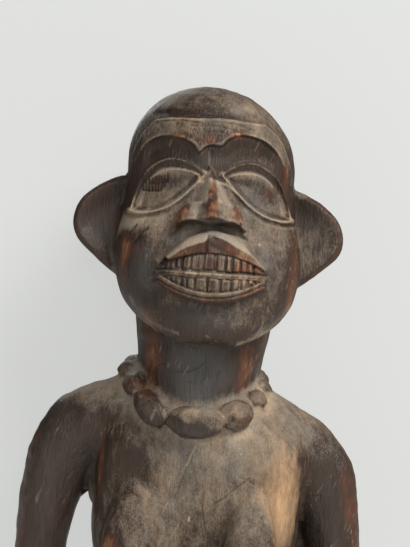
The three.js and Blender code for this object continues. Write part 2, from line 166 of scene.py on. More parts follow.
def outline_distance(x: Array, z: Array, outline: Array) -> Array:
    """Measure the distance from points to a closed outline.

    Args:
        x: The points' first coordinates.
        z: Their second coordinates.
        outline: The outline's points, one row each, not repeated at the end.

    Returns:
        The distance, negative inside.
    """
    closed = np.vstack([outline, outline[:1]])
    inside = np.zeros(x.shape, dtype=bool)
    for (ax, az), (bx, bz) in zip(closed[:-1], closed[1:]):
        if az != bz:
            crosses = ((az > z) != (bz > z)) & (x < (bx - ax) * (z - az) / (bz - az) + ax)
            inside ^= crosses
    return np.where(inside, -1, 1) * line_distance(x, z, closed)


def turn_matrix(degrees: Triple) -> Array:
    """The matrix that turns about X, then Y, then Z, by degrees."""
    a, b, c = np.radians(degrees)
    about_x = np.array([[1, 0, 0], [0, math.cos(a), -math.sin(a)], [0, math.sin(a), math.cos(a)]])
    about_y = np.array([[math.cos(b), 0, math.sin(b)], [0, 1, 0], [-math.sin(b), 0, math.cos(b)]])
    about_z = np.array([[math.cos(c), -math.sin(c), 0], [math.sin(c), math.cos(c), 0], [0, 0, 1]])
    return about_z @ about_y @ about_x


def scatter(cells: Array, seed: int) -> Array:
    """Give each whole-numbered cell its own random number.

    Args:
        cells: Whole numbers, one row of three for each cell.
        seed: Chooses one of many sets of numbers.

    Returns:
        A number from 0 to 1 for each row.
    """
    mixed = cells.astype(np.int64) @ CELL_KEYS + seed * SEED_KEY
    mixed = (mixed ^ (mixed >> 13)) * MIX_KEYS[0] & 0x7FFFFFFF
    mixed = (mixed ^ (mixed >> 11)) * MIX_KEYS[1] & 0x7FFFFFFF
    return ((mixed ^ (mixed >> 15)) & 0xFFFFF) / 0xFFFFF


def cloud(points: Array, size: Triple, seed: int) -> Array:
    """Soft random noise.

    Args:
        points: Where it is wanted, one row each.
        size: The size of its lumps along X, Y and Z.
        seed: Chooses one of many noises.

    Returns:
        Values from 0 to 1.
    """
    scaled = points / np.array(size)
    cell = np.floor(scaled)
    part = scaled - cell
    part = part * part * (3 - 2 * part)
    total = np.zeros(len(points))
    for corner in np.ndindex(2, 2, 2):
        weight = np.prod(np.where(np.array(corner) == 1, part, 1 - part), axis=1)
        total += weight * scatter(cell + np.array(corner), seed)
    return total


def scoops(points: Array, size: Triple, seed: int) -> tuple[Array, Array, Array]:
    """Knife cuts: shallow scoops side by side, with a ridge where two of them meet.

    Args:
        points: Where they are wanted, one row each.
        size: The cuts' size along X, Y and Z.
        seed: Chooses one of many layouts.

    Returns:
        How deep each point lies in its scoop, 0 to about 0.8, how near a ridge it is, 0 to 1, and
        its scoop's own random number, 0 to 1.
    """
    scaled = points / np.array(size)
    home = np.floor(scaled)
    first = np.full(len(points), np.inf)
    second = np.full(len(points), np.inf)
    tone = np.zeros(len(points))
    for offset in np.ndindex(3, 3, 3):
        cell = home + np.array(offset) - 1
        middle = cell + np.stack([scatter(cell, seed + k) for k in range(3)], axis=1)
        away = scaled - middle
        own = scatter(cell, seed + 7)
        distance = np.einsum("ij,ij->i", away, away) + 0.25 * own
        nearer = distance < first
        second = np.where(nearer, first, np.minimum(second, distance))
        first = np.where(nearer, distance, first)
        tone = np.where(nearer, (own * 7) % 1, tone)
    return np.maximum(0.8 - first, 0), 1 - step(second - first, 0, 0.22), tone


def groove_gap(value: Array, pitch: float) -> Array:
    """How far values are from the nearest of evenly spaced grooves, which miss 0 by half a pitch."""
    place = value / pitch + 0.5
    return np.abs(place - np.round(place)) * pitch


def ramp(value: Array, low: float, high: float, rise: float, fall: float) -> Array:
    """A stretch of 1 between two levels, with a smooth rise from low and a smooth fall up to high."""
    return step(value, low, low + rise) * step(high - value, 0, fall)


def spiral(count: int) -> Array:
    """Directions spread evenly all round, one row each."""
    number = np.arange(count) + 0.5
    height = 1 - 2 * number / count
    turn = number * math.pi * (3 - math.sqrt(5))
    level = np.sqrt(1 - height**2)
    return np.stack([level * np.cos(turn), level * np.sin(turn), height], axis=1)


class Form:
    """A form with a box around it, outside of which it is simply far away."""

    low: Array
    high: Array

    def distance(self, points: Array) -> Array:
        """Distances from points to the form's surface, negative inside."""
        raise NotImplementedError

    def near(self, points: Array, reach: float = REACH) -> Array:
        """Measure the form only where it is near.

        Args:
            points: Where it is wanted, one row each.
            reach: How far outside the form's box it is still measured.

        Returns:
            Distances, with one large number where the form is far away.
        """
        found = np.all((points > self.low - reach) & (points < self.high + reach), axis=1)
        distance = np.full(len(points), FAR)
        if found.any():
            distance[found] = self.distance(points[found])
        return distance


@dataclass
class Loft(Form):
    """A body through level sections: height, middle x and y, half width, front, back, squareness."""

    sections: Stations
    per_span: int = 12
    table: Array = field(init=False)
    slope: Array = field(init=False)

    def __post_init__(self) -> None:
        """Draw the sections smoothly and find how steep the sides are."""
        self.table = smooth_curve(self.sections, self.per_span)
        z, x, y, width, front, back, _ = self.table.T
        lean = np.gradient(0.5 * (width + 0.5 * (front + back)), z)
        self.slope = 1 / np.sqrt(1 + lean**2)
        reach = width.max()
        self.low = np.array([x.min() - reach, (y - front).min(), z[0]])
        self.high = np.array([x.max() + reach, (y + back).max(), z[-1]])

    def distance(self, points: Array) -> Array:
        """Distances from points to the loft, negative inside."""
        z = points[:, 2]
        heights = self.table[:, 0]
        x, y, width, front, back, square = (np.interp(z, heights, c) for c in self.table[:, 1:].T)
        dx, dy = points[:, 0] - x, points[:, 1] - y
        deep = np.where(dy < 0, front, back)
        ratio = ((np.abs(dx) / width) ** square + (np.abs(dy) / deep) ** square) ** (1 / square)
        away = np.hypot(dx, dy)
        side = np.where(ratio > TINY, away * (1 - 1 / np.maximum(ratio, TINY)), -width)
        side *= np.interp(z, heights, self.slope)
        return np.maximum(side, np.maximum(heights[0] - z, z - heights[-1]))


@dataclass
class Egg(Form):
    """An egg-like form: its middle, half sizes, turn about X, Y and Z, and how many flats it has."""

    middle: Triple
    half: Triple
    turn: Triple = (0.0, 0.0, 0.0)
    flats: int = 0
    flat_at: float = 0.9

    def __post_init__(self) -> None:
        """Work out the box."""
        self.low = np.array(self.middle) - max(self.half)
        self.high = np.array(self.middle) + max(self.half)

    def distance(self, points: Array) -> Array:
        """Distances from points to the egg, negative inside."""
        local = (points - np.array(self.middle)) @ turn_matrix(self.turn)
        half = np.array(self.half)
        ratio = np.linalg.norm(local / half, axis=1)
        if self.flats:
            ratio = np.maximum(ratio, (local / half @ spiral(self.flats).T).max(axis=1) / self.flat_at)
        pull = np.linalg.norm(local / half**2, axis=1)
        return ratio * (ratio - 1) / np.maximum(pull, 1e-9)


@dataclass
class Limb(Form):
    """A limb along a smooth curve: each station has its middle, half width and half depth."""

    stations: Stations
    side: int = 1
    per_span: int = 4
    path: Array = field(init=False)
    half: Array = field(init=False)

    def __post_init__(self) -> None:
        """Draw the curve and work out the box."""
        drawn = smooth_curve(self.stations, self.per_span)
        self.path = drawn[:, :3] * np.array([self.side, 1, 1])
        self.half = drawn[:, 3:]
        self.low = self.path.min(axis=0) - self.half.max()
        self.high = self.path.max(axis=0) + self.half.max()

    def distance(self, points: Array) -> Array:
        """Distances from points to the limb, negative inside."""
        best = np.full(len(points), FAR)
        forward = np.array([0, 1, 0])
        for a, b, half_a, half_b in zip(self.path[:-1], self.path[1:], self.half[:-1], self.half[1:]):
            along = b - a
            length = np.linalg.norm(along)
            along = along / length
            across = np.cross(forward, along)
            across /= np.linalg.norm(across)
            deep = np.cross(along, across)
            away = points - a
            t = np.clip(away @ along / length, 0, 1)
            away = away - np.outer(t * length, along)
            half = half_a + np.outer(t, half_b - half_a)
            u, v, w = away @ across, away @ deep, away @ along
            ratio = np.sqrt((u / half[:, 0]) ** 2 + (v / half[:, 1]) ** 2 + (w / half.mean(axis=1)) ** 2)
            reach = np.sqrt(u * u + v * v + w * w)
            near = np.where(ratio > TINY, reach * (1 - 1 / np.maximum(ratio, TINY)), -half[:, 0])
            best = np.minimum(best, near)
        return best


@dataclass
class Brow:
    """One eye's recess: the brow's edge over it, from the face's middle line outwards."""

    edge: Sequence[Pair]
    foot: Sequence[Pair] = ((56, 532), (54, 518), (42, 521), (24, 526), (8, 538), (-8, 541))

    def outline(self) -> Array:
        """The recess's outline as smooth points."""
        return np.vstack([smooth_curve(self.edge, 3), np.array(self.foot, dtype=float)])


@dataclass
class Head:
    """The head: skull, jaw, cap of hair, brows, eyes, nose and mouth."""

    skull: Loft = field(default_factory=lambda: Loft((
        (436, 5, -14, 26, 44, 44, 2.3), (448, 4.5, -14, 33, 47, 50, 2.3),
        (461, 3, -13, 42.5, 50, 56, 2.35), (475, 1.8, -12, 50.5, 50, 62, 2.35),
        (491, 1, -12, 54, 49, 68, 2.35), (506, 0.3, -11, 53.8, 47, 72, 2.35),
        (520, 0, -9, 51, 44.5, 73, 2.3), (536, 0, -6, 49.8, 43, 71, 2.25),
        (551, -0.5, -3, 50, 47.5, 67, 2.2), (565, -1, 0, 48.3, 50, 60, 2.15),
        (576, -1.8, 2, 43.5, 47, 51, 2.1), (586, -2.4, 4, 35.8, 39.5, 40, 2.05),
        (593.5, -2.8, 5, 26.5, 29, 28, 2), (598.3, -3, 5, 14.5, 16, 15, 2), (600, -3, 5, 3, 3, 3, 2),
    )))
    chin: float = 447.0
    jaw_front: float = -61.0
    jaw_slope: float = 0.6
    hairline: float = 573.5
    cap_step: float = 1.5
    cap_edge: Sequence[Pair] = ((478, -9), (505, -9), (522, -12), (548, -22), (574, -35), (610, -40))
    lean_start: float = -2.0
    lean_slope: float = 0.0625
    carved_z: Pair = (512.0, 572.0)
    brow_step: float = 2.5
    orbit_fall: float = 1.7
    lid_band: float = 3.2
    dish_edge: float = 1.7
    dish_deep: float = 2.4
    dish_wide: float = 12.0
    lid_ridge: Pair = (0.65, 0.7)
    rim_ridge: Pair = (1.0, 0.85)
    rim_groove: Pair = (2.6, 1.2)
    chin_flat: tuple[float, ...] = (0.72, -60.5, 0.69, 452.0)
    brows: Sequence[Brow] = (
        Brow((
            (-8, 558.6), (-2, 558.8), (3, 557.8), (6.7, 554.6), (8.6, 557.6), (12, 560.2), (18.5, 562.4),
            (27.3, 563.1), (34.8, 560.2), (40, 555.6), (45, 547),
        )),
        Brow((
            (-8, 558.6), (0, 558.8), (5, 558.7), (7, 560.2), (9.8, 562.9), (16.2, 565.4), (25, 565),
            (31.7, 562.6), (37.5, 558), (42, 551), (46, 541),
        )),
    )
    lid: Sequence[Pair] = (
        (4.7, 543), (10.5, 547.2), (17.5, 550.2), (25, 550.6), (33, 547), (39, 540), (43, 531), (45.3, 523),
    )
    inner_lid: Sequence[Pair] = (
        (8, 542), (13, 544), (20.5, 545), (27.5, 544), (34, 540), (39, 534), (41.7, 527), (42, 523),
    )
    eye_shift: float = 1.5
    eye_reach: Pair = (0.968, 1.034)
    lower_rim: Sequence[Pair] = (
        (4.7, 543), (12, 534.7), (19, 528), (25.7, 523.3), (33, 520.8), (40.5, 520), (46.5, 521.2),
    )

    def middle(self, z: Array | float) -> Array | float:
        """The face's middle line at a height."""
        return self.lean_start + self.lean_slope * (self.hairline - z)

    def recess(self, x: Array, z: Array) -> Array:
        """Distances to the edge of the two recesses under the brows, negative inside."""
        side = x - self.middle(z)
        first, second = (outline_distance(np.abs(side), z, brow.outline()) for brow in self.brows)
        return np.where(side < 0, first, second)

    def eye(self, x: Array, z: Array) -> tuple[Array, Array, Array, Array]:
        """Measure points against the eyes.

        Args:
            x: The points' first coordinates.
            z: Their heights.

        Returns:
            Distances to the whole eye's outline and to its dish, both negative inside, then to the
            lid's line and to the lower rim.
        """
        side = x - self.middle(z) - self.eye_shift
        out = np.abs(side) * np.where(side < 0, *self.eye_reach)
        lid, inner, rim = (smooth_curve(line, 4) for line in (self.lid, self.inner_lid, self.lower_rim))
        almond = outline_distance(out, z, np.vstack([lid, rim[-2:0:-1]]))
        dish = outline_distance(out, z, np.vstack([inner, rim[-2:1:-1]]))
        return almond, dish, line_distance(out, z, lid), line_distance(out, z, rim)

    def relief(self, points: Array) -> Array:
        """How far the carving of brows and eyes stands out from the skull.

        Args:
            points: Points near the front of the head, one row each.

        Returns:
            The height in millimetres, negative where wood is cut away.
        """
        height = np.zeros(len(points))
        low, high = self.carved_z
        found = (points[:, 2] > low) & (points[:, 2] < high) & (points[:, 1] < -9)
        x, y, z = points[found].T
        out = np.abs(x - self.middle(z))
        brow = self.recess(x, z)
        almond, dish, lid_gap, rim_gap = self.eye(x, z)
        in_eye = step(-almond, -0.5, 0.8)
        fade = 1 - 0.3 * step(556 - z, 0, 14)
        fade *= 1 - 0.8 * step(out, 30, 44)
        orbit = (self.brow_step * step(-brow, -0.5, 1.1) + self.orbit_fall * step(-brow, 0.8, 7)) * fade
        hollow = 1 - (1 - np.clip(-dish / self.dish_wide, 0, 1)) ** 2
        leaf = step(-dish, -1.2, 0.9)
        band = self.lid_band - 1.3 * step(out, 30, 42)
        floor = band * (1 - leaf) + (self.dish_edge + self.dish_deep * hollow) * leaf
        floor *= 1 - 0.55 * step(out, 39, 45.5)
        carved = -orbit * (1 - in_eye) - floor * in_eye
        high, wide = self.lid_ridge
        carved += high * bell(lid_gap, wide)
        outer = step(out, 34, 43)
        high, wide = self.rim_ridge
        carved += (high + outer) * bell(rim_gap, wide + 0.8 * outer)
        away, wide = self.rim_groove
        carved -= bell(rim_gap - away, wide) * step(almond, 0, 1) * step(out, 8, 14)
        height[found] = carved * step(-y, 15, 25)
        return height

    def cap(self, points: Array) -> tuple[Array, Array]:
        """Find the cap of hair.

        Args:
            points: Points of the head, one row each.

        Returns:
            How far each point is inside the cap, negative on the face, and the cap's relief.
        """
        x, y, z = points.T
        heights, places = np.array(self.cap_edge).T
        ragged = 0.35 * np.sin(0.21 * x + 0.6) + 0.12 * np.sin(0.7 * x)
        over = z - (self.hairline + 0.01 * x + ragged)
        behind = 0.88 * (y - np.interp(z, heights, places))
        inside = np.maximum(over, behind)
        cut = self.cap_step * step(inside, -0.3, 1.1) * (1 - 0.85 * step(inside, 1.5, 14))
        return inside, 0.35 * bell(inside + 1.2, 1.1) - cut - 0.3 * bell(inside - 0.9, 0.9)

    def distance(self, points: Array, fine: bool) -> Array:
        """Measure the head without its nose and mouth.

        Args:
            points: Where it is wanted, one row each.
            fine: Whether the carving of brows, lids and hairline is wanted too.

        Returns:
            Distances to the head's surface, negative inside.
        """
        _, y, z = points.T
        body = self.skull.distance(points)
        under = (self.jaw_slope * (y - self.jaw_front) + self.chin - z) / math.hypot(1, self.jaw_slope)
        body = common(body, under, 2.2)
        tilt_y, flat_y, tilt_z, flat_z = self.chin_flat
        body = common(body, -tilt_y * (y - flat_y) - tilt_z * (z - flat_z), 0.8)
        if fine:
            body = body - self.relief(points) - self.cap(points)[1]
        return body


@dataclass
class Nose(Form):
    """The wedge nose: a flat ridge, two blocky wings and a slanting underside with two hollows."""

    wedge: Loft = field(default_factory=lambda: Loft((
        (504, 1.8, -50, 14, 18, 8, 1.4), (511.5, 1.6, -50, 15, 23.5, 8, 1.4),
        (517, 1.6, -50, 14.5, 26.5, 8, 1.35), (524, 1.2, -48, 11.5, 22.5, 8, 1.3),
        (534, 0.5, -44, 7.2, 16, 6, 1.35), (545, -0.8, -40, 3, 9, 4, 1.5), (549, -1, -40, 1.6, 5, 3, 1.6),
    )))
    ridge: Sequence[Pair] = ((504, -71), (517, -75.8), (524, -70), (534, -59.8), (545, -49.4), (549, -45))
    wing: Sequence[Pair] = (
        (1, 526.6), (10, 526.6), (13.8, 525), (16.8, 521), (18.8, 516), (20, 511), (19.6, 504), (1, 504),
    )
    wing_middle: float = 0.9
    wing_front: float = -68.0
    foot: float = 516.9
    foot_ends: float = 2.4
    nostril_out: float = 9.5
    nostril_at: Pair = (-61.0, 511.5)
    nostril_half: Triple = (8.0, 6.5, 4.2)

    def __post_init__(self) -> None:
        """Set the box and hollow out the nostrils."""
        self.low = np.array([-21, -78, 502])
        self.high = np.array([23, -38, 551])
        places = [self.wing_middle + side * self.nostril_out for side in (-1, 1)]
        self.nostrils = [Egg((x, *self.nostril_at), self.nostril_half) for x in places]

    def distance(self, points: Array) -> Array:
        """Distances from points to the nose, negative inside."""
        x, y, z = points.T
        heights, fronts = np.array(self.ridge).T
        form = common(self.wedge.distance(points), 0.75 * (np.interp(z, heights, fronts) - y), 0.5)
        out = np.abs(x - self.wing_middle)
        edge = outline_distance(out, z, smooth_curve(self.wing, 2))
        back = 0.075 * np.maximum(out - 9, 0) ** 2 + 0.5 * np.maximum(4.5 - out, 0)
        face = self.wing_front + 0.5 * (z - 515) + back - y
        form = union(form, common(edge, 0.9 * face, 2.2), 0.6)
        level = self.foot - self.foot_ends * step(out, 12.5, 20)
        below = 0.9 * (level - np.maximum(0.09 * (y + 68), 0.52 * (y + 68)) - z)
        form = common(form, below, 0.5)
        for hollow in self.nostrils:
            form = common(form, -hollow.distance(points), 3)
        return form


@dataclass
class Mouth(Form):
    """Thick lips on a rounded muzzle, and two rows of bared teeth set back between them."""

    muzzle: Egg = field(default_factory=lambda: Egg((3.4, -30, 489), (42, 47, 42)))
    middle: float = 3.4
    half: float = 28.5
    corner_up: float = 492.4
    corner_low: float = 485.6
    top: float = 510.8
    teeth_top: float = 498.9
    teeth_foot: float = 479.6
    foot: float = 472.7
    upper_edge: Sequence[Pair] = (
        (-25, 492.2), (-18.6, 495.6), (-14.6, 498.5), (-10.2, 501.4), (-5.1, 503.4), (-1.3, 504.6),
        (2.3, 508.4), (7.6, 507), (12, 504.9), (16.2, 502.6), (21.5, 499.8), (27, 496), (32, 491.5),
    )
    gap: float = 489.3
    ledge: float = 486.4
    upper_gaps: Sequence[float] = (-21, -18.6, -15.8, -12.5, -7.6, -1.1, 5.2, 10.4, 13.9, 18.3, 22.1, 25.4)
    lower_gaps: Sequence[float] = (-17.9, -15.3, -12, -9.1, -4.8, 1.4, 8.2, 14.1, 18.7, 22.6, 26.5)
    set_back: float = 2.3
    tooth_round: float = 0.5
    groove: Pair = (1.5, 0.9)
    slit: Pair = (1.3, 0.8)

    def __post_init__(self) -> None:
        """Work out the box."""
        self.low = np.array([self.middle - self.half - 1, -78, self.foot - 1])
        self.high = np.array([self.middle + self.half + 1, -45, self.top + 1])

    def arch(self, x: Array, corner: float, middle: float, half: float) -> Array:
        """The height of an arc over the mouth that runs from corner to corner."""
        out = np.clip((x - self.middle) / half, -1, 1)
        return corner + (middle - corner) * (1 - out * out)

    def levels(self, x: Array, z: Array) -> tuple[Array, Array, Array, Array, Array]:
        """Measure points against the lips' edges.

        Args:
            x: The points' first coordinates.
            z: Their heights.

        Returns:
            How far each point is below the upper lip's crest, its inner edge and its foot, then how
            far above the lower lip's top and how far below its foot.
        """
        half, inner = self.half, self.half - 1
        crest = self.arch(x, self.corner_up, self.top, half) - z
        red = np.interp(x, *np.array(self.upper_edge).T) - z
        under = self.arch(x, self.corner_up - 0.5, self.teeth_top, inner) - z
        low_top = z - self.arch(x, self.corner_low + 0.8, self.teeth_foot - 1.4, inner)
        return crest, red, under, low_top, self.arch(x, self.corner_low - 3.6, self.foot, half) - z

    def distance(self, points: Array) -> Array:
        """Distances from points to the lips and teeth, negative inside."""
        x, _, z = points.T
        crest, red, under, low_top, low_under = self.levels(x, z)
        top = -crest
        skin = self.muzzle.distance(points)
        ends = 0.8 * (np.abs(x - self.middle) - self.half)
        upper = common(skin, top, 5) + 0.4 * np.clip(red, 0, 6)
        upper = common(common(upper, under, 0.8), ends, 1)
        lower = common(common(skin + 0.6, low_top, 1.2), low_under, 3)
        lower = common(lower, ends, 1)
        back = self.set_back + 0.5 * step(np.abs(x - self.middle), 18, 26)
        row = common(skin + back, np.maximum(top + 4, low_under + 2.5), 1)
        row = common(row, ends + 1.2, 1)
        lower = lower + 0.9 * bell(low_top + 2.6, 0.7)
        row = row + self.teeth_relief(x, z, under, low_top)
        return union(union(upper, lower, 0.8), row, 0.6)

    def teeth_relief(self, x: Array, z: Array, under: Array, over: Array) -> Array:
        """Measure the grooves around the teeth.

        Args:
            x: The points' first coordinates.
            z: Their heights.
            under: How far each point is below the upper lip.
            over: How far each is above the lower lip.

        Returns:
            How deep the wood is cut at each point.
        """
        wave = 0.25 * np.sin(0.35 * x + 0.8)
        line = z - self.gap - wave
        lean = 0.04 * line * np.sin(1.7 * x)
        cut = np.zeros(len(x))
        rows = (
            (line > 0, self.upper_gaps, np.minimum(under, line)),
            (z < self.ledge + wave, self.lower_gaps, np.minimum(over, self.ledge + wave - z)),
        )
        for found, gaps, ends in rows:
            places = np.array(gaps)
            away = np.abs((x[found] + lean[found])[:, None] - places).min(axis=1)
            near = np.minimum(away, np.abs(ends[found]) + 0.2)
            number = np.searchsorted(places, x[found])
            deep, wide = self.groove
            cut[found] = deep * bell(near, wide) + self.tooth_round * np.sin(number * 12.9898)
        deep, wide = self.slit
        return cut + deep * bell(line, wide) * step(self.half - np.abs(x - self.middle), 2, 6)


@dataclass
class Ear(Form):
    """One disc ear: an outline, set at a turn, with a shallow dish in front."""

    side: int
    drop: float
    edge: Sequence[Pair] = (
        (40, 545), (52, 543.5), (64, 538.5), (72.5, 532), (78.5, 524), (80.7, 513.5), (77, 504),
        (66, 493.5), (54, 485), (40, 481),
    )
    front: float = -3.0
    thick: float = 10.0
    turn: float = -10.0
    dish_deep: float = 2.6
    bevel: float = 2.6

    def __post_init__(self) -> None:
        """Work out the box."""
        x = sorted([36 * self.side, 84 * self.side])
        self.low = np.array([x[0], -24, 474])
        self.high = np.array([x[1], 16, 548])

    def plan(self, points: Array) -> tuple[Array, Array, Array]:
        """Find points on the ear.

        Args:
            points: The points, one row each.

        Returns:
            How far out and how far behind its front each point is, and the distance to its edge,
            negative inside.
        """
        local = points @ turn_matrix((0, 0, self.side * self.turn))
        out, z = self.side * local[:, 0], local[:, 2] + self.drop
        edge = outline_distance(out, z, smooth_curve([*self.edge, self.edge[0]], 3)[:-1])
        return out, local[:, 1] - self.front, edge

    def distance(self, points: Array) -> Array:
        """Distances from points to the ear, negative inside."""
        out, behind, edge = self.plan(points)
        face = self.dish_deep * step(-edge, 1, 13) * step(out, 40, 54) - behind
        form = common(common(edge, face, 0.8), behind - self.thick, 3)
        return common(form, 0.7 * (edge + face + self.bevel), 0.6)


@dataclass
class Bead:
    """One carved bead: its place as an angle from the front, its height, half sizes and upward turn."""

    angle: float
    z: float
    long: float
    thick: float
    high: float
    up: float = 0.0


@dataclass
class Necklace:
    """The carved bead string: a ring that is wider to the left, and the beads on it."""

    middle_x: float = 1.0
    left: float = 42.5
    right: float = 36.5
    front: float = 45.0
    back: float = 38.0
    beads: Sequence[Bead] = (
        Bead(-1.5, 406, 16.9, 9.2, 9.6), Bead(-38, 410.5, 13.9, 8.7, 7.7, -34),
        Bead(-60, 422, 9.6, 7.7, 6.9, -24), Bead(-86, 428, 10, 7.3, 5.8, -8),
        Bead(35.7, 409.8, 11.2, 8.7, 9.3, 20), Bead(63, 416, 8.8, 7.3, 7.5, 16),
        Bead(84, 421, 9.4, 7, 6.8, 8),
    )
    flats: int = 18
    cord_half: float = 7.5
    cord_in: float = 0.88
    behind: Pair = (106.0, 250.0)
    behind_count: int = 7
    behind_half: Triple = (10.6, 7.8, 6.7)

    def place(self, angle: float) -> Pair:
        """Where the string is in plan, at an angle from the front."""
        across, ahead = math.sin(math.radians(angle)), math.cos(math.radians(angle))
        wide = self.left if across < 0 else self.right
        deep = self.front if ahead > 0 else self.back
        return self.middle_x + wide * across, -deep * ahead

    def forms(self) -> list[Egg]:
        """Every bead's form, from the front round to the nape."""
        row = list(self.beads)
        for angle in np.linspace(*self.behind, self.behind_count):
            z = 425 - 8 * math.cos(math.radians(angle)) - 0.05 * self.place(angle)[0]
            row.append(Bead(float(angle), z, *self.behind_half))
        return [
            Egg((*self.place(b.angle), b.z), (b.long, b.thick, b.high), (0, -b.up, b.angle), self.flats)
            for b in row
        ]

    def cord(self) -> Limb:
        """The raised band that the beads stand on."""
        row = sorted(self.beads, key=lambda bead: bead.angle)
        stations = [(*self.place(b.angle), b.z - 1, self.cord_half, self.cord_half) for b in row]
        return Limb([(x * self.cord_in, y * self.cord_in, z, *half) for x, y, z, *half in stations])


@dataclass
class Trunk:
    """Neck, body, breasts, seat, arms, hands, legs, feet and base."""

    neck: Loft = field(default_factory=lambda: Loft((
        (396, 1, 2, 27, 34, 30, 2.1), (414, 0.7, 2, 31.5, 37.5, 33, 2.1), (430, 0.3, 2, 36.3, 40, 36, 2.1),
        (455, 1, 2, 40.6, 42, 42, 2.1), (482, 1, 2, 43, 38, 49, 2.1), (508, 1, 2, 38, 24, 53, 2.1),
    )))
    neck_facet: float = -35.4
    neck_slant: Triple = (0.64, 0.77, 39.2)
    body: Loft = field(default_factory=lambda: Loft((
        (196, 0, 4, 30, 15, 26, 2.2), (208, 0, 4, 49, 27, 37, 2.3), (226, 0, 3, 58, 39, 42, 2.3),
        (246, 1, 1, 55, 47, 35, 2.2), (268, 2, 0, 50, 46, 31, 2.2), (296, 2.8, 1, 53, 40.5, 32, 2.5),
        (330, 3.2, 2, 60.6, 39.5, 36, 3), (362, 4.2, 2, 61.6, 39.5, 38, 3.3),
        (388, 6.6, 2, 63, 42.5, 37, 3), (408, 1, 2, 54, 41, 32, 2.2), (424, -3, 2, 40.5, 34, 26, 2),
    )))
    left_shoulder: Stations = (
        (34, 3, 398, 25, 26), (61, 3, 394.5, 23.5, 24), (77, 3, 378, 21.5, 21), (84.5, 3, 352, 18.5, 18.5),
    )
    right_shoulder: Stations = (
        (34, 3, 395, 24, 26), (58, 3, 388, 22.5, 24), (75.5, 3, 372, 21.5, 21), (84, 3, 347, 18.5, 18.5),
    )
    arm: Stations = (
        (88.5, 3, 315, 15.5, 17), (89, 7, 276, 14.5, 15.5), (83, -1, 252, 14, 14.5),
        (70, -22, 243, 12, 12.5), (54, -38, 240, 10, 10.5), (43, -44, 240, 8.5, 12),
    )
    leg: Stations = (
        (29, 5, 232, 25, 31), (30.5, 3, 203, 28, 31), (33, -1, 176, 27, 27.5), (35, -4, 150, 24.5, 24.5),
        (37, -8, 118, 21, 22), (37, -2, 88, 21.5, 23), (36.5, 6, 56, 16.5, 17), (36.5, 7, 30, 16, 17),
    )
    web_edge: Sequence[Pair] = ((54, 386), (80, 386), (82, 268), (70, 258), (50, 264))
    web_front: float = 4.0
    web_back: float = 14.0
    hand_z: float = 240.0
    hand_turn: float = 12.0
    finger_pitch: float = 6.2
    foot_x: float = 38.0
    toe_pitch: float = 6.6
    breast_x: float = 33.0
    base_half: Pair = (80.0, 66.0)
    base_thick: float = 26.0

    def __post_init__(self) -> None:
        """Make the forms that come in pairs."""
        self.arms = [Limb((*self.left_shoulder, *self.arm), -1), Limb((*self.right_shoulder, *self.arm), 1)]
        self.armpit = Egg((-58, 4, 369), (5.5, 13, 24))
        self.legs = [Limb(self.leg, side) for side in (-1, 1)]
        self.hands, self.feet, self.breasts, self.nipples, self.seat = [], [], [], [], []
        for s in (-1, 1):
            across = self.breast_x * s + 1
            self.hands.append(Egg((33 * s, -46, self.hand_z), (19, 7.5, 13.5), (0, 0, s * self.hand_turn)))
            self.feet.append(Egg((self.foot_x * s, -12, self.base_thick), (18.5, 38, 22)))
            self.breasts.append(Egg((across, -40, 322), (17.5, 19, 47), (-11, 0, 0)))
            self.nipples.append(Egg((across, -61.5, 296), (4.2, 4.2, 4.2)))
            self.seat.append(Egg((27 * s, 24, 214), (27, 26, 30)))
        self.navel = Egg((1, -46.5, 262), (5, 5, 5))

    def neck_form(self, points: Array) -> Array:
        """Distances to the neck, cut flat in front and at two slants."""
        x, y, _ = points.T
        form = self.neck.near(points)
        form = common(form, self.neck_facet - y, 1)
        out, ahead, away = self.neck_slant
        for side in (-1, 1):
            form = common(form, out * side * (x - 0.5) - ahead * (y - 2) - away, 1.2)
        return form

    def chest_fall(self, points: Array) -> Array:
        """How much the chest falls away beside its flat, ridged middle, on the figure's right."""
        x, y, z = points.T
        beside = step(-19 - x, 0, 3.5) * (1 - step(-19 - x, 9, 26))
        return 1.5 * beside * step(z, 335, 352) * (1 - step(z, 370, 386)) * step(-y, 10, 25)

    def web_form(self, points: Array) -> Array:
        """Distances to the thin wall of wood that is left beside the right arm."""
        distance = np.full(len(points), FAR)
        x, y, z = points.T
        found = (x > 30) & (x < 105) & (z > 235) & (z < 410)
        edge = outline_distance(x[found], z[found], np.array(self.web_edge))
        wall = np.maximum(self.web_front - y[found], y[found] - self.web_back)
        distance[found] = np.maximum(edge, wall)
        return distance

    def base_form(self, points: Array) -> Array:
        """Distances to the low oval base."""
        x, y, z = points.T
        ratio = np.hypot(x / self.base_half[0], y / self.base_half[1])
        away = np.hypot(x, y) * (1 - 1 / np.maximum(ratio, TINY))
        return common(np.maximum(away, -z), z - self.base_thick, 3)

    def hand_form(self, points: Array, fine: bool) -> Array:
        """Distances to the hands, with fingers parted where the fine carving is wanted."""
        x, y, up = points[:, 0], points[:, 1], points[:, 2] - self.hand_z
        forms = [hand.near(points) for hand in self.hands]
        if fine:
            cut = 2 * bell(groove_gap(up, self.finger_pitch), 1.1)
            cut *= step(13 - np.abs(up), 0, 3) * step(-y, 44, 48)
            forms = [form + cut * step(34 - s * x, 0, 4) for s, form in zip((-1, 1), forms)]
        return np.minimum(*forms)

    def foot_form(self, points: Array, fine: bool) -> Array:
        """Distances to the feet, with toes parted where the fine carving is wanted."""
        forms = [foot.near(points) for foot in self.feet]
        if fine:
            across = np.abs(points[:, 0]) - self.foot_x
            toes = step(-points[:, 1], 28, 34) * step(13.5 - np.abs(across), 0, 2)
            cut = 2.4 * bell(groove_gap(across, self.toe_pitch), 1.2) * toes
            forms = [form + cut for form in forms]
        return np.minimum(*forms)

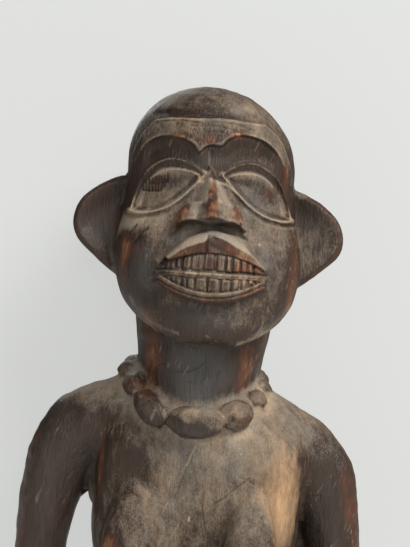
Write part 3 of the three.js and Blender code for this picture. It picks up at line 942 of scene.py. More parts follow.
    def distance(self, points: Array, fine: bool) -> Array:
        """Measure everything below the head.

        Args:
            points: Where it is wanted, one row each.
            fine: Whether fingers and toes are parted.

        Returns:
            Distances to the surface, negative inside.
        """
        z = points[:, 2]
        form = self.body.near(points) + self.chest_fall(points)
        small = (*self.nipples, self.navel)
        shoulder = 2.2 + 12 * step(z, 392, 412)
        for parts, fillet in ((self.seat, 9), (self.legs, 6), (self.breasts, 7), (small, 2.5)):
            for part in parts:
                form = union(form, part.near(points), fillet)
        for part, fillet in (
            (self.neck_form(points), 4), (self.armpit.near(points), 2.5),
            *((arm.near(points), shoulder) for arm in self.arms), (self.web_form(points), 3),
            (self.hand_form(points, fine), 2.2), (self.foot_form(points, fine), 4),
            (self.base_form(points), 2),
        ):
            form = union(form, part, fillet)
        return form


@dataclass
class Mark:
    """A crack, gouge or fine scored line on the front, or a pale speck painted as a glint of light, drawn
    in x and z, with its width and depth.
    """

    line: Sequence[Pair]
    width: float
    deep: float
    dark: float = 0.85
    pale: float = 0.0
    front: float = -10.0


@dataclass
class Carving:
    """The whole figure as one form."""

    head: Head = field(default_factory=Head)
    trunk: Trunk = field(default_factory=Trunk)
    necklace: Necklace = field(default_factory=Necklace)
    nose: Nose = field(default_factory=Nose)
    mouth: Mouth = field(default_factory=Mouth)
    marks: Sequence[Mark] = (
        Mark(((32, 375.5), (22.3, 367.3), (17, 362), (13.8, 360)), 0.36, 0.4, 0.75),
        Mark(((26.4, 376), (31, 374.6), (35.8, 372)), 0.34, 0.3, 0.5),
        Mark(((7.3, 366.4), (6.9, 355.2), (9.2, 345.4), (11.4, 337), (9, 322), (12, 310)), 0.4, 0.45, 0.6),
        Mark(((-9, 361), (-6.2, 370), (-2, 384)), 0.35, 0.2, 0.5),
        Mark(((1.4, 393), (-1.2, 387), (-3, 381)), 0.4, 0.15, 0, 0.6),
        Mark(((-24.6, 433), (-25.4, 429), (-23.2, 423)), 0.5, 0.8, front=-14),
        Mark(((-27.5, 436), (-28.6, 428)), 0.45, 0.5, front=-14),
        Mark(((-39.5, 512.5), (-43, 507.5)), 0.6, 0.7),
        Mark(((-33, 511), (-36.5, 508), (-40, 503)), 0.8, 0.8),
        Mark(((0.8, 508.4), (0.1, 503), (0.1, 499.3)), 0.6, 1.2, front=-45),
        Mark(((3.2, 508), (4, 506.8)), 1.3, 0.6, 0.5, front=-45),
        Mark(((-2.1, 555), (-1.7, 551), (-1.5, 548)), 0.35, 0.2, 0, 0.3, front=-35),
        Mark(((-23.3, 561), (-24.1, 557.6)), 0.3, 0.1, 0, 0.35, front=-30),
        Mark(((-33, 578), (-22, 577.2), (-12, 578)), 2.1, 0.9, 0.32, front=-20),
        Mark(((-20, 582), (-8, 581), (3, 579.8)), 1.5, 0.6, 0.34, front=-20),
        Mark(((-8, 577), (4, 576.4), (16, 577.4)), 1.5, 0.6, 0.4, front=-20),
        Mark(((14, 581), (22, 578.5)), 1.3, 0.4, 0.25, front=-20),
        Mark(((-30, 571.5), (-18, 572), (-6, 570)), 0.4, 0.3, 0.5, front=-30),
        Mark(((-12, 568.5), (0, 569.5), (12, 567.5)), 0.4, 0.3, 0.5, front=-30),
        Mark(((4, 571.5), (14, 571), (22, 569)), 0.35, 0.25, 0.45, front=-30),
        Mark(((-4, 565.5), (3, 566), (8, 564.5)), 0.4, 0.3, 0.5, front=-30),
        # A painted highlight: a white speck on the right cheek.
        Mark(((28.4, 505.5), (28.7, 505.7)), 0.5, 0, 0, 1),
        Mark(((0, 351.5), (-0.2, 349.5)), 0.5, 0, 0, 1),
        Mark(((26.6, 389), (26.8, 389.3)), 0.45, 0, 0, 0.9),
        Mark(((2.8, 393.8), (6.4, 393.6)), 0.5, 0, 0, 0.6),
        # Painted glints: pale specks of light seen in the gap between the rows of teeth.
        Mark(((-9.8, 488.2), (-4.8, 488)), 0.42, 0, 0, 1),
        Mark(((-2.4, 488), (3.1, 488.2)), 0.4, 0, 0, 0.7),
        Mark(((5.4, 488.2), (8.6, 488)), 0.36, 0, 0, 0.6),
        Mark(((-40.7, 472.3), (-36, 466), (-28.9, 460.7), (-20, 457), (-12.2, 455.3)), 1.3, 0.3, 0, 0.42),
        Mark(((49, 474), (43.5, 466), (37.4, 460.1), (29, 455), (20.5, 451.6)), 1.4, 0.3, 0, 0.45),
        # Painted glints on the chin, set in two shallow nicks.
        Mark(((2.5, 455.4), (4.6, 454.2)), 0.3, 0.2, 0, 0.3),
        Mark(((8, 453), (8.6, 452.4)), 0.3, 0.2, 0, 0.3),
    )
    mark_reach: float = 4.0
    neck_base: float = 405.0
    jaw_base: float = 425.0
    gouge_pitch: float = 1.75
    gouged_top: Sequence[Pair] = ((-38.2, 535.8), (-33.4, 539.8), (-23.5, 542.2))
    gouged_foot: Sequence[Pair] = ((-38.2, 532.8), (-35, 531.2), (-28, 532.4), (-23.5, 537.2))

    def __post_init__(self) -> None:
        """Make the ears, the beads and the gouges."""
        self.ears = [Ear(-1, 0), Ear(1, 3)]
        self.beads = self.necklace.forms()
        self.cord = self.necklace.cord()
        self.tragus = Egg((-51, -7.5, 517), (5, 5, 8))
        self.marks = (*self.marks, *self.gouges())

    def on_head(self, z: Array) -> Array:
        """How far heights are up on the head: 0 below the chin, and 1 from just above it."""
        return step(z, 446, 452)

    def near_mark(self, mark: Mark, points: Array) -> tuple[Array, Array]:
        """Find the points around a mark.

        Args:
            mark: The mark.
            points: The points, one row each.

        Returns:
            Which points are near it, and their distances from its line.
        """
        x, y, z = points.T
        (low_x, low_z), (high_x, high_z) = np.min(mark.line, axis=0), np.max(mark.line, axis=0)
        box_gap = np.maximum(np.maximum(low_x - x, x - high_x), np.maximum(low_z - z, z - high_z))
        near = (y < mark.front) & (box_gap < self.mark_reach)
        return near, line_distance(x[near], z[near], np.array(mark.line))

    def bead_gap(self, points: Array) -> Array:
        """Distances from points to the nearest bead."""
        gap = np.full(len(points), FAR)
        for bead in self.beads:
            gap = np.minimum(gap, bead.near(points, 8))
        return gap

    def distance(self, points: Array, fine: bool = True) -> Array:
        """Measure the figure.

        Args:
            points: Where it is wanted, one row each.
            fine: Whether the shallow carving is wanted too.

        Returns:
            Distances to the surface, negative inside.
        """
        form = self.trunk.distance(points, fine)
        above = points[:, 2] > self.neck_base
        high = points[above]
        if len(high):
            top = form[above]
            skull = np.full(len(high), FAR)
            near_head = high[:, 2] > self.jaw_base
            skull[near_head] = self.head.distance(high[near_head], fine)
            skull = union(skull, self.nose.near(high, 9), 1.2)
            at_end = np.abs(high[:, 0] - self.mouth.middle) / self.mouth.half
            soft = 1.2 + 4 * np.clip(at_end, 0, 1) ** 3
            soft += 5 * step(high[:, 2], 499, 507)
            skull = union(skull, self.mouth.near(high, 9), soft)
            top = union(top, skull, 1.8)
            for ear in self.ears:
                top = union(top, ear.near(high, 8), 2.5)
            form[above] = union(top, self.tragus.near(high, 8), 2)
        form = union(form, self.cord.near(points, 6), 3)
        for bead in self.beads:
            form = union(form, bead.near(points, 8), 1)
        return form

    def knife(self, points: Array) -> tuple[Array, Array, Array]:
        """The knife's cuts on the finished surface.

        Args:
            points: Points of the surface, one row each.

        Returns:
            How deep each point is cut, then how near it is to a ridge between two cuts and the
            cuts' own random number, both 0 to 1.
        """
        x, y, z = points.T
        small, ridge, small_tone = scoops(points, (7, 7, 12), 3)
        broad, long_ridge, broad_tone = scoops(points + 40, (13, 13, 30), 17)
        face = self.on_head(z) * step(-y, 5, 20)
        beads = step(2.5 - self.bead_gap(points), 0, 1)
        neck = step(z, 424, 430) * (1 - self.on_head(z)) * (1 - beads)
        cap = step(self.head.cap(points)[0], 0.5, 3) * step(z, 500, 520)
        arms = step(np.abs(x), 56, 64) * step(420 - z, 0, 10)
        chin = ramp(z, 444, 466, 6, 8) * step(-y, 40, 48)
        deep = (0.4 - 0.2 * face + 0.4 * beads + 0.4 * neck + 0.3 * cap + 0.5 * arms + 0.7 * chin) * small
        deep += (1.1 - 0.5 * face - 0.9 * beads + 0.2 * neck - 0.3 * cap + 0.6 * arms) * broad
        tone = 0.5 * small_tone + 0.5 * broad_tone
        deep -= 0.22 + 0.4 * arms
        return deep * step(z, 1, 4), np.maximum(ridge * 0.7, long_ridge), tone

    def gouges(self) -> list[Mark]:
        """The rough upright gouges in the left eye, and two across them."""
        (tops, top_z), (feet, foot_z) = np.array(self.gouged_top).T, np.array(self.gouged_foot).T
        made = []
        for k, x in enumerate(np.arange(tops[0], tops[-1], self.gouge_pitch)):
            slip = math.sin(5.1 * k)
            top = float(np.interp(x, tops, top_z)) - 0.9 * math.cos(7.3 * k) ** 2
            foot = float(np.interp(x, feet, foot_z)) + 1.1 * math.sin(3.7 * k) ** 2
            bow = (x - 0.25 * slip, 0.5 * (top + foot))
            line = ((x + 0.3 * slip + 0.2, top), bow, (x + 0.3 * slip, foot))
            made.append(Mark(line, 0.48 + 0.1 * slip, 0.9, 0.9, front=-20))
        return [
            *made,
            Mark(((-38.5, 533.2), (-34, 532.4), (-28, 532.9)), 0.4, 0.6, 0.7, front=-20),
            Mark(((-35, 536.9), (-29, 536.3), (-24.5, 537.6)), 0.35, 0.5, 0.6, front=-20),
        ]

    def finish(self, points: Array, normal: Array) -> Array:
        """Cut the knife's marks, cracks and scratches into finished surface points.

        Args:
            points: The points, one row each.
            normal: The outward direction at each.

        Returns:
            The points with the marks cut in.
        """
        deep = self.knife(points)[0]
        for mark in self.marks:
            near, gap = self.near_mark(mark, points)
            deep[near] += mark.deep * bell(gap, mark.width)
        return points - normal * deep[:, None]


@dataclass
class Mesher:
    """Turns the carving into triangles: a coarse net first, then finer ones drawn onto the surface."""

    carving: Carving
    grid: float = 4.4
    low: Triple = (-110.0, -84.0, -4.4)
    high: Triple = (110.0, 74.0, 608.0)
    rounds: int = 5
    close: float = 0.015
    stride: float = 1.4
    too_long: float = 1.45
    thin_mark: float = 1.0

    def net(self) -> tuple[Array, Array]:
        """Make a net of squares around the surface on a regular grid.

        Returns:
            The vertices and the triangles.
        """
        axes = [np.arange(lo, hi + self.grid, self.grid) for lo, hi in zip(self.low, self.high)]
        shape = tuple(len(axis) for axis in axes)
        grid = np.stack(np.meshgrid(*axes, indexing="ij"), axis=-1).reshape(-1, 3)
        value = np.concatenate([self.carving.distance(part, False) for part in np.array_split(grid, 12)])
        value = value.reshape(shape)
        cells = tuple(n - 1 for n in shape)
        total = np.zeros((*cells, 3))
        count = np.zeros(cells)
        quads = []
        for axis in range(3):
            last = shape[axis] - 1
            a, b = np.take(value, range(last), axis), np.take(value, range(1, last + 1), axis)
            crossed = np.argwhere((a < 0) != (b < 0))
            va, vb = a[tuple(crossed.T)], b[tuple(crossed.T)]
            place = crossed.astype(float)
            place[:, axis] += va / (va - vb)
            one, two = [k for k in range(3) if k != axis]
            ring = []
            for step_one, step_two in ((-1, -1), (0, -1), (0, 0), (-1, 0)):
                cell = crossed.copy()
                cell[:, one] += step_one
                cell[:, two] += step_two
                np.add.at(total, tuple(cell.T), place)
                np.add.at(count, tuple(cell.T), 1)
                ring.append(np.ravel_multi_index(tuple(cell.T), cells))
            quad = np.stack(ring, axis=1)
            flip = (va < 0) != (axis == 1)
            quad[flip] = quad[flip][:, ::-1]
            quads.append(quad)
        quad = np.vstack(quads)
        used, index = np.unique(quad, return_inverse=True)
        quad = index.reshape(quad.shape)
        flat = total.reshape(-1, 3)[used] / count.reshape(-1)[used][:, None]
        vertices = flat * self.grid + np.array(self.low)
        triangles = np.vstack([quad[:, [0, 2, 1]], quad[:, [0, 3, 2]]])
        return vertices, triangles

    def draw_on(self, points: Array, times: int, fine: bool) -> Array:
        """Draw points onto the surface.

        Args:
            points: The points, one row each.
            times: How many steps are taken.
            fine: Whether the fine carving is followed.

        Returns:
            The points on the surface.
        """
        gap = 0.2 if fine else 0.6
        points = points.copy()
        moving = np.arange(len(points))
        for _ in range(times):
            near = points[moving]
            here = self.carving.distance(near, fine)
            off = np.abs(here) > self.close
            moving, near, here = moving[off], near[off], here[off]
            if not len(moving):
                break
            slope = np.stack([
                (self.carving.distance(near + gap * axis, fine) - here) / gap for axis in np.eye(3)
            ], axis=1)
            pull = here / np.maximum(np.einsum("ij,ij->i", slope, slope), 0.2)
            points[moving] = near - slope * np.clip(pull, -self.stride, self.stride)[:, None]
        points[:, 2] = np.maximum(points[:, 2], 0)
        return points

    def wanted(self, points: Array) -> Array:
        """Choose the size of the triangles.

        Args:
            points: Points of the surface, one row each.

        Returns:
            The size wanted at each point.
        """
        x, y, z = points.T
        size = np.full(len(points), Where.REST.value)

        def within(found: Array, where: Where) -> None:
            """Ask for finer triangles where something is found."""
            size[found] = np.minimum(size[found], where.value)

        def zone(low: float, high: float = math.inf, ahead: float = math.inf) -> Array:
            """Which points lie between two heights and ahead of a depth."""
            return (z > low) & (z < high) & (y < ahead)

        out = np.abs(x - self.carving.head.middle(z))
        by_teeth = np.abs(x - self.carving.mouth.middle) < 31
        within(zone(330, ahead=2), Where.FRONT)
        within(zone(425), Where.HEAD)
        within(zone(514, 568, -13) & (out > 30), Where.FACE)
        within(zone(222, 258, -30) & (np.abs(x) < 56), Where.HANDS)
        within(zone(20, 44, -24), Where.HANDS)
        within(zone(446, 590, -22), Where.FACE)
        within(zone(394, 438, -6) & (self.carving.bead_gap(points) < 3), Where.BEADS)
        within(zone(516, 567, -22) & (out < 49), Where.EYES)
        within(zone(572, 576, -22), Where.EYES)
        within(zone(506, 550, -50) & (out < 24), Where.EYES)
        within(zone(470, 512, -52) & by_teeth, Where.TEETH)
        for ear in self.carving.ears:
            near = (ear.side * x > 56) & (z > 476) & (z < 552)
            _, behind, edge = ear.plan(points[near])
            near[near] = (edge > -4.5) & (behind < 4)
            within(near, Where.FACE)
        for mark in self.carving.marks:
            if mark.width < self.thin_mark:
                near, gap = self.carving.near_mark(mark, points)
                near[near] = gap < 1.2
                within(near, Where.MARK)
        return size

    def split(self, vertices: Array, triangles: Array, size: Array) -> tuple[Array, Array, int]:
        """Split every edge that is too long.

        A triangle's corners are 0 to 2 in the cuts, and its edges' middles 3 to 5.

        Args:
            vertices: The vertices, one row each.
            triangles: The triangles, three vertex numbers each.
            size: The size wanted at each vertex.

        Returns:
            The new vertices, the new triangles and how many vertices were there before.
        """
        edges = np.sort(triangles[:, [0, 1, 1, 2, 2, 0]].reshape(-1, 2), axis=1)
        pairs, index = np.unique(edges, axis=0, return_inverse=True)
        length = np.linalg.norm(vertices[pairs[:, 0]] - vertices[pairs[:, 1]], axis=1)
        long = length > self.too_long * np.minimum(size[pairs[:, 0]], size[pairs[:, 1]])
        number = np.full(len(pairs), -1)
        number[long] = len(vertices) + np.arange(long.sum())
        middles = 0.5 * (vertices[pairs[long, 0]] + vertices[pairs[long, 1]])
        mids = number[index.reshape(-1, 3)]
        count = (mids >= 0).sum(axis=1)
        made = [triangles[count == 0]]
        for k in range(3):
            corners = np.hstack([np.roll(triangles, -k, axis=1), np.roll(mids, -k, axis=1)])
            first, second = corners[:, 3] >= 0, corners[:, 4] >= 0
            for found, cuts in (((count == 1) & first, ONE_CUT), ((count == 2) & first & second, TWO_CUTS)):
                made += [corners[found][:, cut] for cut in cuts]
        corners = np.hstack([triangles, mids])[count == 3]
        made += [corners[:, cut] for cut in THREE_CUTS]
        return np.vstack([vertices, middles]), np.vstack(made), len(vertices)

    def even_out(self, vertices: Array, triangles: Array, fine: bool, strength: float) -> Array:
        """Slide vertices along the surface towards the middle of their neighbours.

        Args:
            vertices: The vertices, one row each.
            triangles: The triangles.
            fine: Whether the fine carving is followed afterwards.
            strength: How far they slide, 0 to 1.

        Returns:
            The moved vertices, drawn onto the surface.
        """
        normal = vertex_normals(vertices, triangles)
        pull = neighbour_mean(vertices, triangles, vertices) - vertices
        pull -= normal * np.einsum("ij,ij->i", pull, normal)[:, None]
        return self.draw_on(vertices + strength * pull, 1, fine)

    def mesh(self) -> tuple[Array, Array]:
        """Mesh the whole carving.

        Returns:
            The vertices and the triangles.
        """
        vertices, triangles = self.net()
        vertices = self.draw_on(vertices, 2, False)
        vertices = self.even_out(vertices, triangles, False, 0.6)
        LOG.info("net: %d triangles", len(triangles))
        for _ in range(self.rounds):
            vertices, triangles, old = self.split(vertices, triangles, self.wanted(vertices))
            if old == len(vertices):
                break
            vertices[old:] = self.draw_on(vertices[old:], 2, True)
            LOG.info("refined: %d triangles", len(triangles))
        vertices = self.even_out(self.draw_on(vertices, 4, True), triangles, True, 0.5)
        vertices = self.draw_on(vertices, 4, True)
        return self.carving.finish(vertices, vertex_normals(vertices, triangles)), triangles


def vertex_normals(vertices: Array, triangles: Array) -> Array:
    """The outward direction at each vertex of a closed mesh."""
    a, b, c = (vertices[triangles[:, k]] for k in range(3))
    across = np.cross(b - a, c - a)
    total = np.zeros_like(vertices)
    for k in range(3):
        for axis in range(3):
            total[:, axis] += np.bincount(triangles[:, k], across[:, axis], len(vertices))
    return total / np.maximum(np.linalg.norm(total, axis=1), 1e-12)[:, None]


def neighbour_mean(vertices: Array, triangles: Array, values: Array) -> Array:
    """Average values over each vertex's neighbours.

    Args:
        vertices: The vertices, one row each.
        triangles: The triangles.
        values: One row of values for each vertex.

    Returns:
        The averages, one row each.
    """
    start = triangles.reshape(-1)
    end = triangles[:, [1, 2, 0]].reshape(-1)
    count = np.bincount(start, minlength=len(vertices)) + np.bincount(end, minlength=len(vertices))
    total = np.zeros_like(values)
    for axis in range(values.shape[1]):
        total[:, axis] = np.bincount(start, values[end, axis], len(vertices))
        total[:, axis] += np.bincount(end, values[start, axis], len(vertices))
    return total / np.maximum(count, 1)[:, None]


@dataclass
class Spot:
    """A soft spot on the wood: its middle, its half sizes and its strength."""

    middle: Triple
    half: Triple
    strength: float

    def at(self, points: Array) -> Array:
        """How strong the spot is at points."""
        away = (points - np.array(self.middle)) / np.array(self.half)
        return self.strength * np.exp(-np.einsum("ij,ij->i", away, away))


def spots(*rows: Sequence[float]) -> tuple[Spot, ...]:
    """Soft spots from rows of numbers: the middle, the half sizes and the strength."""
    return tuple(Spot(row[:3], row[3:6], row[6]) for row in rows)


@dataclass
class Ageing:
    """Where the wood is dusty, rubbed or polished, and where shade and a grey sheen are painted
    into its colour, worked out for each vertex.

    Spots of dust, of dark polished wood, of wood rubbed red-brown, of wood rubbed pale and of painted
    grey sheen are placed where the old figure has them. The rest follows from the carving's edges,
    hollows and slopes; painted shade darkens the wood where it closes in.
    """

    carving: Carving
    dusty: Sequence[Spot] = spots(
        (12, -44, 380, 40, 18, 22, 0.34), (34, -42, 392, 24, 16, 20, 0.22),
        (60, -4, 409, 26, 26, 16, 0.16), (-50, -4, 418, 20, 24, 12, 0.42),
        (-12, -44, 352, 8, 14, 24, 0.25), (4, -46, 350, 24, 14, 20, 0.1),
        (-36, -38, 514, 14, 14, 6, 0.75), (-46, -26, 514, 7, 12, 8, 0.6), (-42, -30, 509, 8, 12, 6, 0.35),
        (-27, -40, 544, 9, 8, 3.2, 0.45), (21, -40, 545, 9, 8, 3.2, 0.4),
        (7.6, -67, 521, 3.2, 5, 5.5, 0.12), (-5.2, -66, 520, 3.4, 5, 4, 0.16),
        (1, -58, 506.5, 20, 8, 3.5, 0.4), (50, -20, 500, 4, 12, 14, 0.1), (36, -40, 458, 16, 12, 4, 0.35),
        (16, -40, 583, 14, 16, 8, 0.3), (40, -34, 556, 6, 10, 14, 0.3), (22, -42, 416, 9, 8, 6, 0.3),
        (0, -48, 413, 15, 8, 3, 0.35), (-28, -48, 455.5, 10, 8, 2.2, 0.3), (-9, -58, 449, 10, 8, 2, 0.4),
        (13, -59, 448.5, 10, 8, 2, 0.4), (34, -46, 456.5, 10, 8, 2.6, 0.3), (-13, -72, 506, 9, 6, 4, 0.3),
        (20, -70, 506, 8, 6, 4, 0.35), (-73, -17, 366, 8, 10, 14, 0.3), (84, -18, 382, 9, 10, 16, 0.2),
        (38, -22, 418, 9, 10, 7, 0.3), (0, -36, 432, 14, 5, 18, 0.16), (-58, -4, 345, 5, 16, 24, 0.4),
    )
    dark: Sequence[Spot] = spots(
        (-32, -38, 577.5, 10, 14, 3.2, 0.7), (-14, -42, 576.6, 15, 12, 2.8, 0.6),
        (4, -44, 575.4, 12, 12, 2, 0.4), (-8, -30, 590, 14, 20, 7, 0.15), (6, -60, 452.5, 18, 8, 5, 0.9),
        (-16, -58, 459, 9, 10, 7, 0.8), (-32, -50, 466, 10, 12, 8, 0.45), (0.5, -36, 431, 18, 7, 18, 0.8),
        (-37, -48, 492, 5, 14, 20, 0.4), (-46, -38, 494, 6, 14, 20, 0.6),
        (-68, -12, 385, 18, 22, 26, 0.6), (-88, -8, 350, 11, 26, 50, 0.6),
        (-75, -12, 355, 12, 22, 40, 0.5), (80, -12, 362, 10, 20, 40, 0.5), (74, -14, 350, 4, 16, 40, 0.7),
        (86, -14, 340, 6, 20, 40, 0.35), (-38, -34, 380, 14, 14, 16, 0.22),
        (-32, -42, 354, 12, 14, 20, 0.32), (34, -46, 352, 14, 14, 16, 0.14),
        (0, -56, 401.5, 13, 8, 5, 0.45), (-25, -48, 409, 9, 10, 8, 0.4),
        (-62, -10, 522, 20, 24, 26, 0.35),
    )
    rubbed: Sequence[Spot] = spots(
        (-44, -40, 499, 2.6, 12, 6, 0.5), (-45.5, -38, 495, 4.5, 14, 20, 1),
        (-38, -48, 492, 3, 12, 20, 0.55), (49, -32, 482, 4.5, 14, 28, 0.7),
        (1.5, -74, 521, 3, 5, 5, 0.62), (2, -60, 532, 2.4, 16, 12, 0.5), (16, -62, 521, 4.5, 8, 7, 0.5),
        (-12.5, -62, 520, 4.5, 8, 7, 0.4), (-17, -60, 516, 3, 8, 6, 0.55),
        (-1.5, -50, 561.7, 4.5, 8, 3, 0.6), (33, -36, 535, 8, 14, 8, 0.4),
        (-30, -40, 537, 7.5, 14, 4.5, 0.65), (26, -28, 434, 7, 14, 24, 0.5),
        (-27, -28, 434, 7, 14, 22, 0.7), (-30, -50, 464, 9, 12, 8, 0.75), (-99, -8, 350, 9, 20, 60, 0.55),
        (97, -8, 350, 8, 20, 50, 0.38), (-16, -62, 517, 5, 8, 7, 0.2), (18, -62, 516, 4, 8, 6, 0.2),
        (-88, -14, 388, 12, 16, 18, 0.45), (88, -16, 368, 8, 14, 24, 0.55),
        (-53, -24, 378, 2.5, 14, 26, 0.8), (-44, -48, 336, 7, 12, 7, 0.9), (62, -28, 380, 3, 14, 18, 0.4),
        (-20, -48, 562.4, 6, 8, 1.6, 0.7), (13, -48, 565, 4, 8, 1.8, 1), (43, -34, 548, 2, 8, 9, 0.8),
        (-52, -16, 514, 5, 10, 8, 0.6), (-33, -38, 576, 6, 12, 3, 0.4),
    )
    # The first spot paints a pale tan strip down the chest's right side, where that side catches the light:
    # a painted highlight in the colour of pale worn wood.
    pale: Sequence[Spot] = spots(
        (55, -31, 357, 11.5, 14, 31, 0.85), (45, -38, 372, 14, 12, 30, 0.34),
        (1.5, -75, 519.5, 2.6, 4, 3.4, 0.3), (16, -63, 524, 3, 6, 2.6, 0.12),
        (13.5, -48, 565.2, 1.6, 6, 1, 0.8), (-17, -48, 562.5, 3, 6, 1, 0.4),
        (21, -70, 502, 7, 6, 3.2, 0.45), (18, -70, 494, 8, 8, 4, 0.2), (-46.5, -36, 500, 2, 8, 5, 0.4),
        (50, -28, 490, 2, 10, 20, 0.35),
    )
    # Painted grey sheen: spots where the dark wood's grey reflection of the room is laid into its colour.
    sheen_spots: Sequence[Spot] = spots(
        (0, -36, 431, 17, 9, 19, 1.1), (30, -50, 494, 10, 12, 16, 0.5), (-33, -52, 488, 8, 12, 12, 0.7),
        (4, -62, 465, 22, 10, 7, 0.5), (0, -48, 551, 10, 8, 5, 0.45), (-68, -8, 505, 12, 14, 15, 0.5),
        (66, -8, 513, 12, 14, 22, 0.4), (22, -40, 531, 7, 12, 7, 0.55), (-18, -40, 534, 8, 12, 7, 0.4),
        (0, -50, 402, 12, 8, 6, 0.4), (-30, -44, 410, 8, 10, 8, 0.3), (-70, -14, 378, 14, 20, 26, 0.25),
        (4, -68, 513, 20, 12, 4, 0.6), (-84, -14, 350, 9, 20, 50, 0.22), (80, -20, 352, 9, 20, 44, 0.28),
    )

    shelter_steps: Sequence[Pair] = ((2.0, 0.3), (5.0, 0.3), (10.0, 0.25), (18.0, 0.15))

    def bend(self, points: Array, reach: float, fine: bool) -> Array:
        """How sharply the form bends at points: above 0 on ridges and below 0 in hollows.

        Args:
            points: Points of the surface, one row each.
            reach: How far around each point the form is felt, in millimetres.
            fine: Whether the shallow carving is felt too.

        Returns:
            The bend for each point; a ridge as round as the reach gives about 1.
        """
        around = np.array(((1, 1, 1), (1, -1, -1), (-1, 1, -1), (-1, -1, 1))) * reach / math.sqrt(3)
        total = -4 * self.carving.distance(points, fine)
        for away in around:
            total += self.carving.distance(points + away, fine)
        return 1.5 * total / reach

    def shelter(self, points: Array, normal: Array) -> Array:
        """How closed in each point is by the wood around it, 0 to 1."""
        total = np.zeros(len(points))
        for away, weight in self.shelter_steps:
            open_gap = self.carving.distance(points + away * normal, False)
            total += weight * np.clip(1 - open_gap / away, 0, 1)
        return total

    def dress_eyes(self, coat: Coat, points: Array) -> None:
        """Darken the recesses under the brows, and lay dust along lids and rims."""
        x, y, z = points.T
        head = self.carving.head
        face = (z > 510) & (z < 573) & (y < -12)
        brow = head.recess(x[face], z[face])
        almond, dish, lid_gap, rim_gap = head.eye(x[face], z[face])
        in_eye = step(-almond, -0.4, 0.8)
        recess = step(-brow, 0.2, 1.6) * (1 - in_eye) * step(rim_gap, 1.5, 3)
        recess *= step(z[face] - 536 + 0.3 * np.abs(x[face]), 0, 8)
        band = in_eye * step(dish, 0.2, 1.4) * step(lid_gap, 0.6, 1.4)
        upper = bell(dish + 1.2, 2.2) * step(rim_gap, 2, 6) * in_eye
        under = bell(rim_gap - 2.2, 1.1) * step(-dish, 0.2, 1)
        ends = 1 - 0.4 * step(np.abs(x[face]), 36, 44)
        lines = 0.36 * bell(lid_gap, 0.8) + 0.42 * ends * bell(rim_gap, 0.9) + 0.26 * upper - 0.35 * under
        coat["dust"][face] += lines - 0.75 * recess - 0.4 * band + 0.1 * step(-dish, 0.5, 2)
        coat["dust"][face] += 0.15 * bell(brow - 0.6, 0.8) * step(-y[face], 30, 40)
        coat["polish"][face] += 0.5 * recess + 0.3 * band + 0.1 * step(-dish, 0.5, 2)
        coat["polish"][face] -= 0.8 * bell(lid_gap, 1.5) + 0.8 * bell(rim_gap, 1.5)

    def dress_nose(self, coat: Coat, points: Array) -> None:
        """Rub the nose's flat ridge red-brown, leave dust on its sides and paint shade under its front
        edge.
        """
        x, y, z = points.T
        down = 545 - z
        middle = 0.4 + 0.06 * down
        beside = np.abs(x - middle)
        front = step(-y, 44, 50)
        half = 1 + 0.07 * down
        ridge = step(half - beside, -1.3, 0.9) * ramp(z, 517, 545, 1.5, 5) * front
        reach = 3.5 + 0.43 * (541.3 - z)
        side = step(beside - half, -0.5, 1.5) * step(reach - beside, -2, 1.5) * front
        side *= ramp(z, 524.5, 548, 3, 4)
        tip = ridge * step(528 - z, 0, 4)
        under = step(y + 0.5 * z + 193, 0, 2) * ramp(z, 506, 519, 4, 2)
        under *= step(21 - np.abs(x - self.carving.nose.wing_middle), 0, 2) * step(-y, 50, 54)
        low = step(512.5 - z, 0, 3.5)
        root = bell(np.hypot(x + 1, 0.7 * (z - 541.5)), 6) * step(-y, 30, 36)
        coat["dust"] += 0.42 * side - 0.3 * ridge + under * (0.2 * low + 0.3) + 0.3 * root
        coat["polish"] -= 0.6 * root
        coat["pale"] += 0.2 * side * step(x - middle, 0, 1)
        coat["wear"] += 0.1 * ridge + 0.5 * tip
        # Painted shade under the nose's front edge; the ridge above the tip is darkened too and the root
        # lightened.
        coat["grime"] += 0.3 * (ridge - tip) + 0.15 * under * (1 - low) - 0.5 * root

    def dress_mouth(self, coat: Coat, points: Array) -> None:
        """Dust the lips' outer bands, redden their inner faces and some of the teeth, and paint shade in
        the gap between the rows of teeth.
        """
        mouth = self.carving.mouth
        x, y, z = points.T
        near = (y < -52) & (np.abs(x - mouth.middle) < mouth.half + 2) & (z > 468) & (z < 513)
        x, z = x[near], z[near]
        out = (x - mouth.middle) / mouth.half
        crest, red, teeth, low, foot = mouth.levels(x, z)
        band = step(crest, -1.5, 3.5) * step(-red, 0, 0.8)
        face = step(red, 0, 0.6) * step(-teeth, -0.4, 0.4)
        row = step(teeth, 0, 0.6) * step(low, 0, 0.6)
        lower = step(-low, 0, 0.6) * step(-foot, -0.5, 0.5)
        fold = step(-low, 2.2, 3) * lower
        right = step(out, 0.1, 0.7)
        tooth = np.floor(0.5 + (x + 40) / 4.3)
        tint = scatter(np.stack([tooth, z > mouth.gap, 0 * tooth], axis=1), 51)
        shelf = bell(z - mouth.ledge - 1, 0.9) * row
        coat["dust"][near] += 0.5 * band + 0.08 * lower - 0.3 * fold - 0.4 * face * (1 - right)
        coat["dust"][near] -= 0.12 * bell(low + 0.8, 1.2)
        coat["dust"][near] += row * (0.3 * tint - 0.22 + 0.22 * (z < mouth.gap)) - 0.16 * shelf
        coat["wear"][near] += (0.4 + 0.6 * right) * face + (0.15 + 0.3 * right) * fold
        coat["wear"][near] += row * (0.6 * right + 0.2 * (tint > 0.6))
        # Painted shade in the gap between the rows of teeth; the upper lip's inner face is darkened on the
        # left too.
        coat["grime"][near] += 0.8 * bell(z - mouth.gap, 0.8) * row + 0.3 * face * (1 - right)
        coat["polish"][near] += 0.5 * row + 0.4 * face

